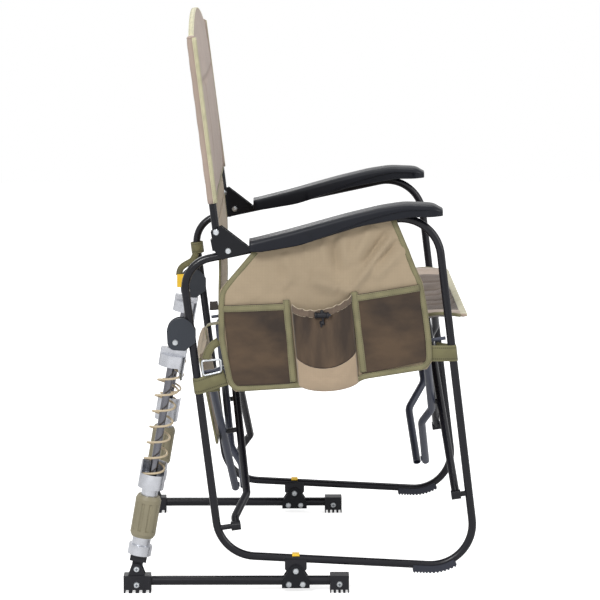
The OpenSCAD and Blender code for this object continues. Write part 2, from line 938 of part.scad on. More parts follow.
// Frame of the folding legs: X along the line of knuckles, Y up the leg
module knuckle_frame(side) {
    place()
        mirror([0, side == left_side ? 1 : 0, 0])
            translate([knuckle_rear_x, -half_width, knuckle_rear_z])
                rotate([0, -scissor_tilt, 0])
                    children();
}
module rising_plane(side) {
    knuckle_frame(side)
        rotate([leg_rise, 0, 0])
            children();
}
module falling_plane(side) {
    knuckle_frame(side)
        translate([0, 0, scissor_h])
            rotate([-leg_rise, 0, 0])
                children();
}
// On the left side each inner end is set over by one lap, so that the ends lie side by side
function lapped(side, s) =
    side == left_side
        ? [[s, leg_len - lap_from, jog_bend], [s + lap, leg_len - lap_to, jog_bend], [s + lap, leg_len, 0]]
        : [[s, leg_len, 0]];
rear_jog_low = 18;
rear_jog_high = 62;
module leg_knuckle(s) {
    translate([s - knuckle_len / 2, 0, 0])
        rotate([0, 90, 0])
            cylinder(h = knuckle_len, d = knuckle_d);
}
// Spacer between two crossing legs, short of the second by the seat gap
module leg_spacer(s_from, s_to, l) {
    translate([s_from, l, 0])
        rotate([0, 90, 0])
            cylinder(h = s_to - s_from - tube_r - seat_gap, d = spacer_d);
}
spacer_d = 9;
module rear_leg(side) {
    path = concat(
        [[0, 0, 0], [0, rear_jog_low, jog_bend / 2], [rear_outer_s, rear_jog_high, jog_bend / 2]],
        lapped(side, rear_outer_s)
    );
    difference() {
        rising_plane(side)
            union() {
                bent_tube(path, tube_d);
                leg_knuckle(0);
                mirror([1, 0, 0])
                    leg_spacer(-rear_outer_s, -rear_inner_s, leg_len / 2);
                if (side == right_side)
                    leg_spacer(rear_outer_s, rear_outer_s + lap, leg_len - lap_end);
            }
        knuckle_frame(side)
            translate([-knuckle_len, 0, 0])
                rotate([0, 90, 0])
                    cylinder(h = knuckle_len + stub_in, d = stub_d + 2 * pin_gap);
    }
}
lap_end = 10;
stub_d = 9;
stub_in = 4;
module right_rear_leg() {
    color(black)
        rear_leg(right_side);
}
module left_rear_leg() {
    color(black)
        rear_leg(left_side);
}
module front_leg(side) {
    s = knuckle_span;
    difference() {
        rising_plane(side)
            union() {
                bent_tube(concat([[s, 0, 0]], lapped(side, s)), tube_d);
                leg_knuckle(s);
                mirror([1, 0, 0])
                    leg_spacer(-s, -front_inner_s, leg_len / 2);
                if (side == right_side)
                    leg_spacer(s, s + lap, leg_len - lap_end);
            }
        knuckle_frame(side)
            translate([s - stub_in, 0, 0])
                rotate([0, 90, 0])
                    cylinder(h = knuckle_len + stub_in, d = stub_d + 2 * pin_gap);
    }
}
module right_front_leg() {
    color(black)
        front_leg(right_side);
}
module left_front_leg() {
    color(black)
        front_leg(left_side);
}

// Stubs on the loop legs that carry the knuckles, and nubs that the seat rail rests on
hook_d = 6;
function rail_end(s) = [
    knuckle_rear_x + s * cos(scissor_tilt) - scissor_h * sin(scissor_tilt),
    knuckle_rear_z + s * sin(scissor_tilt) + scissor_h * cos(scissor_tilt)
];
module leg_stubs(side) {
    rear_x = x_at(low_bar_rear, top_bar_rear, knuckle_rear_z);
    front_x = x_at(low_bar_front, top_bar_front, knuckle_front_z);
    rear_s = (knuckle_rear_x - rear_x) / cos(scissor_tilt);
    front_s = (front_x - knuckle_front_x) / cos(scissor_tilt);
    difference() {
        knuckle_frame(side)
            union() {
                translate([-rear_s, 0, 0])
                    rotate([0, 90, 0])
                        cylinder(h = rear_s + stub_in - seat_gap, d = stub_d);
                translate([knuckle_span - stub_in + seat_gap, 0, 0])
                    rotate([0, 90, 0])
                        cylinder(h = front_s + stub_in - seat_gap, d = stub_d);
            }
        side_plane(side)
            bent_tube(loop_path, tube_d + 2 * pin_gap, true);
        side_plane(side)
            translate([rear_x - stub_d * 2, knuckle_rear_z - stub_d, -stub_d])
                cube([stub_d * 2, stub_d * 2, stub_d * 2]);
        side_plane(side)
            translate([front_x, knuckle_front_z - stub_d, -stub_d])
                cube([stub_d * 2, stub_d * 2, stub_d * 2]);
    }
}
module right_leg_stubs() {
    color(black)
        leg_stubs(right_side);
}
module left_leg_stubs() {
    color(black)
        leg_stubs(left_side);
}

// Seat rails: one tube each, bent down at both ends into the open-ended inner legs,
// with a welded hook at each end that rests against the loop
hook_gap = 2.4;
module seat_rail(side) {
    rear_low_s = side == left_side ? rear_inner_s + lap : rear_inner_s;
    front_low_s = front_inner_s - front_jog - (side == left_side ? lap : 0);
    half_leg = leg_len / 2;
    rear_rail = rail_end(rear_inner_s);
    front_rail = rail_end(front_inner_s);
    rear_span = rear_rail[0] - x_at(low_bar_rear, top_bar_rear, rear_rail[1]) - tube_r;
    front_span = x_at(low_bar_front, top_bar_front, front_rail[1]) - front_rail[0] - tube_r;
    rear_reach = rear_span / cos(scissor_tilt) - hook_gap;
    front_reach = front_span / cos(scissor_tilt) - hook_gap;
    rear_jog_to = [rear_low_s, leg_len - lap_to, jog_bend];
    rear_jog_from = [rear_inner_s, leg_len - lap_from, jog_bend];
    rear_end = side == left_side
        ? [[rear_low_s, leg_len, 0], rear_jog_to, rear_jog_from]
        : [[rear_low_s, leg_len, 0]];
    front_jog_to = half_leg + (side == left_side ? front_jog_len + lap : front_jog_len);
    path = concat(
        rear_end,
        [
            [rear_inner_s, 0, elbow_bend],
            [front_inner_s, 0, elbow_bend],
            [front_inner_s, half_leg + front_jog_from, jog_bend],
            [front_low_s, front_jog_to, jog_bend],
            [front_low_s, leg_len, 0]
        ]
    );
    falling_plane(side)
        union() {
            hollow_tube(path, tube_d, tube_wall);
            difference() {
                union() {
                    translate([rear_inner_s - rear_reach, 0, 0])
                        rotate([0, 90, 0])
                            cylinder(h = rear_reach + elbow_bend, d = hook_d, $fn = 24);
                    translate([front_inner_s - elbow_bend, 0, 0])
                        rotate([0, 90, 0])
                            cylinder(h = front_reach + elbow_bend, d = hook_d, $fn = 24);
                    if (side == right_side) {
                        leg_spacer(rear_low_s, rear_low_s + lap, leg_len - lap_end);
                        mirror([1, 0, 0])
                            leg_spacer(-front_low_s, lap - front_low_s, leg_len - lap_end);
                    }
                }
                bent_tube(path, tube_d - tube_wall);
            }
        }
}
front_jog_from = 22;
front_jog_len = 62;
module right_seat_rail() {
    color(slate)
        seat_rail(right_side);
}
module left_seat_rail() {
    color(slate)
        seat_rail(left_side);
}

// Back posts and the frame of the back: Z runs up along the post from its hinge
post_r = post_d / 2;
post_tail = 10;
post_wall = 1.2;
module back_axis(y) {
    place()
        translate([post_hinge_x, y, post_hinge_z])
            rotate([0, -back_lean, 0])
                children();
}
module back_post(side) {
    back_axis(side * half_width)
        difference() {
            translate([0, 0, -post_tail])
                cylinder(h = post_tail + post_len, d = post_d);
            translate([0, 0, post_tail])
                cylinder(h = post_len, d = post_d - 2 * post_wall);
            rotate([90, 0, 0])
                translate([0, 0, -post_d])
                    cylinder(h = 2 * post_d, d = pin_d + 2 * pin_gap);
        }
}
module right_back_post() {
    color(black)
        back_post(right_side);
}
module left_back_post() {
    color(black)
        back_post(left_side);
}

// Rivets: a domed head at each end, with a shank where a joint turns on it
module rivet_head() {
    rotate_extrude()
        polygon([
            [0, 0], [rivet_head_d / 2, 0],
            [rivet_head_d / 2 * head_mid_share, rivet_head_h * head_mid_share],
            [0, rivet_head_h]
        ]);
}
head_mid_share = 0.8;
module rivet(side, at, half, shank) {
    side_plane(side)
        translate([at[0], at[1], 0]) {
            if (shank)
                translate([0, 0, -half])
                    cylinder(h = 2 * half, d = pin_d);
            for (end = [0, 1])
                mirror([0, 0, end])
                    translate([0, 0, half])
                        rivet_head();
        }
}
bracket_rivet_share = 0.5;
module base_rivets(side) {
    rivet(side, shock_low, ear_in + ear_t, true);
    rivet(side, pivot, pivot_plate_in + sheet_t, true);
    for (x = [-bracket_base_half * bracket_rivet_share, bracket_base_half * bracket_rivet_share])
        rivet(side, [x, foot_rivet_z], pivot_plate_in + sheet_t, false);
    rivet(side, [shock_low_x, foot_rivet_z], foot_w / 2, false);
    rivet(side, [front_foot_x - front_foot_len / 2, foot_rivet_z + over], foot_w / 2, false);
}
foot_rivet_z = 14;
module right_base_rivets() {
    color(silver)
        base_rivets(right_side);
}
module left_base_rivets() {
    color(silver)
        base_rivets(left_side);
}
module frame_rivets(side) {
    rivet(side, post_hinge, plate_in + sheet_t, true);
    rivet(side, post_hinge + bracket_rivet, plate_in + sheet_t, false);
    rivet(side, shock_top, plate_in + sheet_t, true);
}
module right_frame_rivets() {
    color(silver)
        frame_rivets(right_side);
}
module left_frame_rivets() {
    color(silver)
        frame_rivets(left_side);
}

// A padded sheet as a closed grid: rows of face points over rows of back points
function turned(faces) = [for (f = faces) [f[0], f[2], f[1]]];
function grid_faces(nu, nv) =
    let (row = nv + 1, back = (nu + 1) * row)
        concat(
            [for (i = [0:nu - 1], j = [0:nv - 1]) let (a = i * row + j) [a, a + row, a + row + 1]],
            [for (i = [0:nu - 1], j = [0:nv - 1]) let (a = i * row + j) [a, a + row + 1, a + 1]],
            [for (i = [0:nu - 1], j = [0:nv - 1]) let (a = back + i * row + j) [a, a + row + 1, a + row]],
            [for (i = [0:nu - 1], j = [0:nv - 1]) let (a = back + i * row + j) [a, a + 1, a + row + 1]],
            [for (i = [0:nu - 1]) let (a = i * row) [a, back + a, a + row]],
            [for (i = [0:nu - 1]) let (a = i * row) [back + a, back + a + row, a + row]],
            [for (i = [0:nu - 1]) let (a = i * row + nv) [a, a + row, back + a]],
            [for (i = [0:nu - 1]) let (a = i * row + nv) [back + a, a + row, back + a + row]],
            [for (j = [0:nv - 1]) [j, j + 1, back + j]],
            [for (j = [0:nv - 1]) [back + j, j + 1, back + j + 1]],
            [for (j = [0:nv - 1]) let (a = nu * row + j) [a, back + a, a + 1]],
            [for (j = [0:nv - 1]) let (a = nu * row + j) [back + a, back + a + 1, a + 1]]
        );
function dome(t) = 1 - pow(2 * t - 1, 2);

// Seat sling on the two seat rails, in the frame of the folding legs
sling_low = scissor_h + tube_r + seat_gap;
sling_rear_s = 30;
sling_front_s = 330;
seat_side_gap = 22;
seat_half = half_width - seat_side_gap;
seat_stations = [32, 44, 60, 80, 152, 232, 312, 384, 400, 414, 420, 432];
sheet_rear_s = 14;
sheet_front_s = 420;
sheet_stations = concat([sheet_rear_s], [for (s = seat_stations) if (s <= sheet_front_s) s]);
seat_nv = 40;
seat_draw = 2;
sheet_half = (seat_half - seat_draw) * (1 - 2 / seat_nv);
dip_half = (seat_half - seat_draw) * (1 - 4 / seat_nv);
sheet_t = 3;
sheet_lip = 0.15;
sheet_nv = seat_nv - 2;
dip_rear_s = 40;
dip_run = 38;
function ease(t) =
    let (c = min(max(t, 0), 1))
        c * c * (3 - 2 * c);
function seat_dip(s, y) =
    seat_sag * ease((s - dip_rear_s) / dip_run) * ease((sheet_front_s - s) / dip_run)
        * (1 - pow(min(abs(y) / dip_half, 1), 4));
function sheet_point(s, v, top) =
    let (y = (2 * v - 1) * sheet_half)
        [s, half_width + y, sling_low + sling_t - sheet_lip - seat_dip(s, y) - (top ? 0 : sheet_t)];
sleeve_lap = 6;
sling_sleeve_w = half_width + tube_r - sheet_half + sleeve_lap;
module sling_sleeve(y_from) {
    translate([sling_rear_s, y_from, sling_low])
        cube([sling_front_s - sling_rear_s, sling_sleeve_w, sling_t]);
}
hanger_rear_s = -22;
hanger_front_s = 24;
hanger_half = 14;
module seat_sling() {
    color(brown_mesh)
        knuckle_frame(right_side) {
            polyhedron(
                points = [
                    for (top = [true, false], s = sheet_stations, j = [0:sheet_nv])
                        sheet_point(s, j / sheet_nv, top)
                ],
                faces = turned(grid_faces(len(sheet_stations) - 1, sheet_nv))
            );
            sling_sleeve(-tube_r);
            sling_sleeve(2 * half_width + tube_r - sling_sleeve_w);
            translate([hanger_rear_s, half_width - hanger_half, sling_low])
                cube([hanger_front_s - hanger_rear_s, 2 * hanger_half, sling_t - sheet_t / 2]);
        }
}

// Seat cushion: a thin pad that sags between its sides, with sewn channels along it
seat_edge_t = 5;
channel_depth = 1.6;
channel_share = 0.3;
function channel(t) =
    let (phase = t * (seat_channels + 1), off = abs(phase - round(phase)))
        round(phase) < 1 || round(phase) > seat_channels ? 0 : max(0, 1 - off / channel_share);
function seat_point(s, v, top) =
    let (y = (2 * v - 1) * (seat_half - (top ? 0 : seat_draw)), full = seat_dip(s, y) / seat_sag)
        [
            s, half_width + y,
            sling_low + sling_t + seat_gap - seat_dip(s, y)
                + (top ? seat_edge_t + (seat_t - seat_edge_t - channel_depth * channel(v)) * full : 0)
        ];
module seat_cushion() {
    color(tan_cloth)
        knuckle_frame(right_side)
            polyhedron(
                points = [
                    for (top = [true, false], s = seat_stations, j = [0:seat_nv])
                        seat_point(s, j / seat_nv, top)
                ],
                faces = turned(grid_faces(len(seat_stations) - 1, seat_nv))
            );
}

// Back panel: a padded sheet between two sleeves on the posts, arched at the top
back_low = 48;
sleeve_wall = 1.4;
back_sleeve_r = post_r + seat_gap + sleeve_wall;
back_nu = 18;
back_nv = 22;
back_half = half_width - back_sleeve_r + sleeve_wall / 2;
back_edge_share = 0.6;
function back_point(i, j, front) =
    let (u = i / back_nu, v = j / back_nv, side = front ? 1 : -1, puff = sqrt(dome(v)) * sqrt(dome(u)))
        [
            side * (back_t / 2 * back_edge_share + back_t / 2 * (1 - back_edge_share) * puff)
                + (front ? back_crown * dome(v) * dome(u) : 0),
            (2 * v - 1) * back_half,
            back_low + (post_len - back_low + back_arch * dome(v)) * u
        ];
module back_panel() {
    color(tan_cloth) {
        back_axis(0)
            polyhedron(
                points = [
                    for (front = [true, false], i = [0:back_nu], j = [0:back_nv]) back_point(i, j, front)
                ],
                faces = grid_faces(back_nu, back_nv)
            );
        for (side = [right_side, left_side])
            back_axis(side * half_width)
                difference() {
                    translate([0, 0, back_low])
                        cylinder(h = post_len - back_low + sleeve_wall + seat_gap, r = back_sleeve_r);
                    translate([0, 0, back_low - over])
                        cylinder(h = post_len - back_low + over + seat_gap, r = post_r + seat_gap);
                }
    }
}

// Lower run of the back cloth, from the back panel down to the rear of the seat
lower_t = 5;
lower_side_gap = 28;
lower_half = half_width - lower_side_gap;
lower_x = -127;
lower_bend_z = 570;
function sling_top_z(x) =
    let (h = sling_low + sling_t + seat_gap)
    let (s = (x - knuckle_rear_x + h * sin(scissor_tilt)) / cos(scissor_tilt))
        knuckle_rear_z + s * sin(scissor_tilt) + h * cos(scissor_tilt);
module back_lower_panel() {
    top_x = post_hinge_x - (back_low - seat_gap) * sin(back_lean);
    top_z = post_hinge_z + (back_low - seat_gap) * cos(back_lean) - lower_t / 2 * sin(back_lean);
    color(tan_cloth)
        place()
            translate([0, lower_half, 0])
                rotate([90, 0, 0])
                    linear_extrude(height = 2 * lower_half)
                        polygon([
                            [top_x - lower_t / 2, top_z - seat_gap], [top_x + lower_t / 2, top_z - seat_gap],
                            [lower_x + lower_t / 2, lower_bend_z],
                            [lower_x + lower_t / 2, sling_top_z(lower_x + lower_t / 2)],
                            [lower_x - lower_t / 2, sling_top_z(lower_x - lower_t / 2)],
                            [lower_x - lower_t / 2, lower_bend_z]
                        ]);
}

// Pouch that hangs behind the rear legs from the rear edge of the sling
flap_half = 150;
flap_top_t = 17;
flap_low_t = 3;
flap_len = 158;
flap_gap = 4;
module back_flap() {
    s = rear_inner_s - tube_r - flap_gap;
    color(tan_cloth)
        knuckle_frame(right_side)
            translate([0, half_width + flap_half, sling_low - seat_gap])
                rotate([90, 0, 0])
                    linear_extrude(height = 2 * flap_half)
                        polygon([[s, 0], [s, -flap_len], [s - flap_low_t, -flap_len], [s - flap_top_t, 0]]);
}

// Pocket panel outside the right loop, tied to its legs
panel_x = -130;
panel_z = 345;
panel_len = 358;
panel_h = 282;
panel_shares = [
    [0.168, 0.84], [0.008, 0.603], [0, 0.387], [0.042, 0.06], [0.075, 0.014], [0.374, 0.035],
    [0.651, 0.053], [0.668, 0.078], [0.978, 0.138], [1, 0.184], [0.994, 0.312], [0.975, 0.5],
    [0.955, 0.649], [0.936, 0.713], [0.888, 0.844], [0.818, 0.985], [0.757, 0.984], [0.366, 0.868]
];
function panel_point(share) = [panel_x + panel_len * share[0], panel_z + panel_h * share[1]];
module pocket_panel() {
    color(tan_cloth)
        side_plate(right_side, tube_r + panel_gap, panel_out)
            polygon([for (share = panel_shares) panel_point(share)]);
}

// Flat pockets: three closed sides and an open top, on the outer face of the panel
pocket_depth = 6.5;
pocket_wall = 1.2;
rear_pocket_shares = [[0.031, 0.521], [0.332, 0.532], [0.368, 0.046], [0.061, 0.032]];
front_pocket_shares = [[0.62, 0.578], [0.927, 0.642], [0.986, 0.17], [0.679, 0.099]];
module flat_pocket(shares) {
    corners = [for (share = shares) panel_point(share)];
    from = panel_out + seat_gap;
    difference() {
        side_plate(right_side, from, from + pocket_depth)
            polygon(corners);
        side_plate(right_side, from - over, from + pocket_depth - pocket_wall)
            polygon([
                corners[0] + [pocket_seam, pocket_depth], corners[1] + [-pocket_seam, pocket_depth],
                corners[2] + [-pocket_seam, pocket_seam], corners[3] + [pocket_seam, pocket_seam]
            ]);
    }
}
pocket_seam = 5;
module rear_pocket() {
    color(brown_mesh)
        flat_pocket(rear_pocket_shares);
}
module front_pocket() {
    color(brown_mesh)
        flat_pocket(front_pocket_shares);
}

// Cup pocket: a gathered bag that swells outward, open at the top and against the panel
cup_nu = 14;
cup_nv = 12;
cup_top_left = [-7, 490];
cup_top_right = [91, 506];
cup_low_left = [8, 356];
cup_low_right = [103, 361];
cup_hem_drop = 10;
cup_sole_drop = 9;
cup_edge_share = 0.12;
cup_mouth_share = 0.5;
cup_sole_share = 0.12;
bag_wall = 1.8;
cup_inset_u = 0.05;
cup_inset_v = 0.05;
cup_over_v = 0.12;
function cup_swell(u, v) =
    sqrt(dome(u)) * (v > 1 / 2 ? cup_mouth_share + (1 - cup_mouth_share) * sin(180 * v)
        : cup_sole_share + (1 - cup_sole_share) * sqrt(sin(180 * v)));
function cup_edge(u, v) = cup_bulge * (cup_edge_share + (1 - cup_edge_share) * cup_swell(u, min(v, 1)));
function cup_point(u, v, depth) =
    let (
        low = cup_low_left + (cup_low_right - cup_low_left) * u - [0, cup_sole_drop * dome(u)],
        high = cup_top_left + (cup_top_right - cup_top_left) * u - [0, cup_hem_drop * dome(u)],
        at = low + (high - low) * v
    )
        [at[0], at[1], depth];
module cup_bag(inset_u, inset_v, over_v, wall, behind) {
    us = [for (i = [0:cup_nu]) inset_u + (1 - 2 * inset_u) * i / cup_nu];
    vs = [for (j = [0:cup_nv]) inset_v + (1 + over_v - inset_v) * j / cup_nv];
    polyhedron(
        points = concat(
            [for (u = us, v = vs) cup_point(u, v, cup_edge(u, v) - wall)],
            [for (u = us, v = vs) cup_point(u, v, -behind)]
        ),
        faces = turned(grid_faces(cup_nu, cup_nv))
    );
}
module cup_pocket() {
    color(brown_mesh)
        side_plane(right_side)
            translate([0, 0, panel_out + seat_gap])
                difference() {
                    cup_bag(0, 0, 0, 0, 0);
                    cup_bag(cup_inset_u, cup_inset_v, cup_over_v, bag_wall, over);
                }
}

// Webbing straps that tie the pocket panel to the legs of the right loop
function panel_edge_x(a, b, z) = x_at(panel_point(panel_shares[a]), panel_point(panel_shares[b]), z);
strap_r = tube_r + seat_gap;
rear_strap_z = 354;
front_strap_z = 410;
strap_step = 0.2;
rear_strap_rise = 16;
module frame_strap(leg_low, leg_top, z, edge_low, edge_high, rise) {
    leg_x = x_at(leg_low, leg_top, z);
    lean = atan2(leg_top[0] - leg_low[0], leg_top[1] - leg_low[1]);
    low_z = z - strap_w / 2;
    high_z = z + strap_w / 2;
    difference() {
        union() {
            place()
                translate([leg_x, -half_width, z])
                    rotate([0, lean, 0])
                        translate([0, 0, -strap_w / 2])
                            cylinder(h = strap_w, r = strap_r + strap_t);
            side_plate(right_side, strap_r + strap_step, strap_r + strap_t - strap_step)
                polygon([
                    [x_at(leg_low, leg_top, low_z), low_z], [x_at(leg_low, leg_top, high_z), high_z],
                    [edge_high, high_z + rise], [edge_low, low_z + rise]
                ]);
        }
        bar(right_side, leg_low, leg_top, 2 * strap_r);
    }
}
module frame_straps() {
    rear_low = rear_strap_z + rear_strap_rise - strap_w / 2;
    front_low = front_strap_z - strap_w / 2;
    color(olive) {
        frame_strap(
            low_bar_rear, top_bar_rear, rear_strap_z,
            panel_edge_x(2, 3, rear_low) - 2 * seat_gap,
            panel_edge_x(2, 3, rear_low + strap_w) - 2 * seat_gap, rear_strap_rise
        );
        frame_strap(
            low_bar_front, top_bar_front, front_strap_z,
            panel_edge_x(9, 10, front_low) + 2 * seat_gap,
            panel_edge_x(9, 10, front_low + strap_w) + 2 * seat_gap, 0
        );
    }
}

// Cord lock on the hem of the cup pocket: a barrel with a sprung button in its end
lock_x = 43;
lock_z = 478;
lock_d = 6.8;
lock_low_share = 0.9;
lock_len = 20;
lock_bore = 10;
lock_travel = 3;
lock_button_d = 4.2;
lock_button_len = 12;
lock_out = panel_out + seat_gap + cup_edge(1 / 2, lock_low_share) + seat_gap + lock_d / 2;
module lock_axis() {
    side_plane(right_side)
        translate([lock_x, lock_z, lock_out])
            rotate([0, 90, 0])
                children();
}
module cord_lock() {
    color(black)
        lock_axis()
            difference() {
                translate([0, 0, -lock_len / 2])
                    cylinder(h = lock_len, d = lock_d);
                translate([0, 0, lock_len / 2 - lock_bore])
                    cylinder(h = lock_bore + over, d = lock_button_d + 2 * pin_gap);
            }
}
module cord_lock_button() {
    color(slate)
        lock_axis()
            translate([0, 0, lock_len / 2 - lock_bore + lock_travel])
                cylinder(h = lock_button_len, d = lock_button_d);
}

// Carry strap on the rear leg of the left loop, with a plain tag at its end
carry_z = 510;
carry_w = 22;
tag_len = 25;
tag_w = 18;
tag_t = 3;
tag_x = -212;
tag_z = 448;
carry_in = plate_in + sheet_t + seat_gap;
module carry_strap() {
    leg_x = x_at(low_bar_rear, top_bar_rear, carry_z);
    lean = atan2(top_bar_rear[0] - low_bar_rear[0], top_bar_rear[1] - low_bar_rear[1]);
    color(olive)
        difference() {
            union() {
                place()
                    translate([leg_x, half_width, carry_z])
                        rotate([0, lean, 0])
                            translate([0, 0, -carry_w / 2])
                                cylinder(h = carry_w, r = carry_in + strap_t);
                side_plate(left_side, strap_step - carry_in - strap_t, -carry_in - strap_step)
                    polygon([
                        [leg_x, carry_z - carry_w / 2], [leg_x, carry_z + carry_w / 2],
                        [tag_x, tag_z + tag_len / 2 + carry_w / 2], [tag_x, tag_z + tag_len / 2]
                    ]);
            }
            place()
                translate([leg_x, half_width, carry_z])
                    rotate([0, lean, 0])
                        translate([0, 0, -carry_w])
                            cylinder(h = 2 * carry_w, r = carry_in);
        }
}
module strap_tag() {
    color([0.95, 0.8, 0.25])
        side_plate(left_side, -carry_in - tag_t, -carry_in)
            translate([tag_x - tag_w / 2, tag_z - tag_len / 2])
                square([tag_w, tag_len - seat_gap]);
}
echo(centre_x = centre_x);

right_side_loop();
left_side_loop();
right_armrest();
left_armrest();
right_back_bracket();
left_back_bracket();
right_shock_bracket();
left_shock_bracket();
right_shock_cup();
left_shock_cup();
right_shock_rod();
left_shock_rod();
right_shock_spring();
left_shock_spring();
right_shock_sleeve();
left_shock_sleeve();
right_shock_tube();
left_shock_tube();
right_shock_yoke();
left_shock_yoke();
right_base_rail();
left_base_rail();
right_rail_feet();
left_rail_feet();
right_pivot_bracket();
left_pivot_bracket();
right_pivot_saddle();
left_pivot_saddle();
right_pivot_pad();
left_pivot_pad();
right_floor_glide();
left_floor_glide();
right_seat_rail();
left_seat_rail();
right_rear_leg();
left_rear_leg();
right_front_leg();
left_front_leg();
right_leg_stubs();
left_leg_stubs();
right_back_post();
left_back_post();
right_base_rivets();
left_base_rivets();
right_frame_rivets();
left_frame_rivets();
seat_sling();
seat_cushion();
back_panel();
back_lower_panel();
back_flap();
pocket_panel();
rear_pocket();
front_pocket();
cup_pocket();
frame_straps();
cord_lock();
cord_lock_button();
carry_strap();
strap_tag();
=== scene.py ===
# The looks of a folding rocking chair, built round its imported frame.
# Named sizes are real millimetres. X is measured from the rocking pivot, Y from the middle of the
# chair towards the occupant's left, Z from the floor. chair() turns them into metres in the row frame.
import math

import bmesh
import bpy
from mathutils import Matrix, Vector, noise


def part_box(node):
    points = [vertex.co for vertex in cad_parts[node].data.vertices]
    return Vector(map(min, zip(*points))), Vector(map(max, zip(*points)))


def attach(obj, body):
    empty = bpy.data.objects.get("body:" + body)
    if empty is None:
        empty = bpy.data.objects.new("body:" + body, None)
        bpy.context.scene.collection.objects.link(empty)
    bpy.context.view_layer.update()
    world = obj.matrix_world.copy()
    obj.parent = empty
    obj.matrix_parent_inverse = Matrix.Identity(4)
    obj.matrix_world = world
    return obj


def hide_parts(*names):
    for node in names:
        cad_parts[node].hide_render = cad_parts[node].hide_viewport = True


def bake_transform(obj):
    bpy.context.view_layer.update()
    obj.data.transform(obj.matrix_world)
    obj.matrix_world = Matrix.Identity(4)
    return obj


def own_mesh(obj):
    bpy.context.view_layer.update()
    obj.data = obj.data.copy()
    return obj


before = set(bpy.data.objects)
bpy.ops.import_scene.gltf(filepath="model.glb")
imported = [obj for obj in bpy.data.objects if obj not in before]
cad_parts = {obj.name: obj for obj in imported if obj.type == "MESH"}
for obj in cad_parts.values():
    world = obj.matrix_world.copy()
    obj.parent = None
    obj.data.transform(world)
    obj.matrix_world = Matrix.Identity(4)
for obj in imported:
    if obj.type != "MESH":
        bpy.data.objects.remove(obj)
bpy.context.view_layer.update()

MM = 0.001
RIGHT, LEFT = -1, 1
SIDE_NAME = {RIGHT: "right", LEFT: "left"}
# Away from the right side frame, on its outer face
OUTWARD = Vector((0, -1, 0))

# Driving dimensions, as in the part
HALF_WIDTH = 290
TUBE_R = 6.75
HINGE_X, HINGE_Z = -132, 614
BACK_LEAN = math.radians(7.1)
POST_LEN = 322
POST_SLEEVE_R = 7.9
BACK_LOW = 48
BACK_ARCH = 36
KNUCKLE_X, KNUCKLE_Z = -101, 114
SEAT_TILT = math.atan2(167 - 114, 270 + 101)
RAIL_H = 268
LOW_REAR, TOP_REAR = (-127, 64), (-189, 560)
LOW_FRONT, TOP_FRONT = (308, 41), (232, 650)
SHOCK_LOW, SHOCK_TOP = (-269, 41), (-201, 429)
PIVOT = (0, 37)
FOLDED_SHARE = 0.345
HALF_SEAT_FOLDED_SHARE = 0.4

pad_low, pad_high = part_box("right_pivot_pad")
PIVOT_X = (pad_low.x + pad_high.x) / 2


def chair(x, y, z):
    """A point of the chair in metres in the row frame."""
    return Vector((PIVOT_X + x * MM, y * MM, z * MM))


def seat_at(s, y, h):
    """A point in the frame of the seat: s along the knuckles, h square to them."""
    c, d = math.cos(SEAT_TILT), math.sin(SEAT_TILT)
    return chair(KNUCKLE_X + s * c - h * d, y, KNUCKLE_Z + s * d + h * c)


def back_at(up, y, out):
    """A point in the frame of the back: up the posts from their hinge, out towards the sitter."""
    c, d = math.cos(BACK_LEAN), math.sin(BACK_LEAN)
    return chair(HINGE_X - up * d + out * c, y, HINGE_Z + up * c + out * d)


def side_at(x, z, out):
    """A point in the plane of the right side frame, out being away from the chair."""
    return chair(x, -HALF_WIDTH - out, z)


def shock_at(side, along, across, out):
    """A point of a shock: along from its lower rivet to its upper one, across forward, out outward."""
    lean = math.atan2(SHOCK_TOP[0] - SHOCK_LOW[0], SHOCK_TOP[1] - SHOCK_LOW[1])
    c, d = math.cos(lean), math.sin(lean)
    x = SHOCK_LOW[0] + along * d + across * c
    return chair(x, side * (HALF_WIDTH + out), SHOCK_LOW[1] + along * c - across * d)


def mix(a, b, t):
    return a + (b - a) * t


def along_line(low, high, z):
    """X of the line from low to high at a height."""
    return low[0] + (high[0] - low[0]) * (z - low[1]) / (high[1] - low[1])


def dome(t):
    return max(0.0, 1 - (2 * t - 1) ** 2)


def smooth_step(t):
    t = min(max(t, 0.0), 1.0)
    return t * t * (3 - 2 * t)


def rough(point, size, seed):
    """Even noise from -1 to 1 for a point in metres, at a size in millimetres."""
    return noise.noise(point / (size * MM) + Vector((seed, seed * 2, seed * 3)))


# Shader helpers
def set_inputs(tree, shader, values):
    """Sets a node's inputs, each to a number, a colour, or another node's output."""
    for key, value in values.items():
        if isinstance(value, bpy.types.NodeSocket):
            tree.links.new(value, shader.inputs[key])
        else:
            shader.inputs[key].default_value = value


def node(tree, kind, inputs=None, **settings):
    """A new node with its inputs and settings."""
    made = tree.nodes.new(kind)
    for key, value in settings.items():
        setattr(made, key, value)
    set_inputs(tree, made, inputs or {})
    return made


def calc(tree, operation, a, b=None):
    """The output of a math node on one value or on two."""
    inputs = {0: a} if b is None else {0: a, 1: b}
    return node(tree, "ShaderNodeMath", inputs, operation=operation).outputs[0]


# Camera and light
def make_camera():
    data = bpy.data.cameras.new("photo_camera")
    data.sensor_width = 36
    data.lens = 157.32
    camera = bpy.data.objects.new("photo_camera", data)
    bpy.context.scene.collection.objects.link(camera)
    camera.location = (-0.02536, -4.60607, 1.17085)
    camera.rotation_euler = (math.radians(90 - 8.845), 0, math.radians(-0.339))
    bpy.context.scene.camera = camera


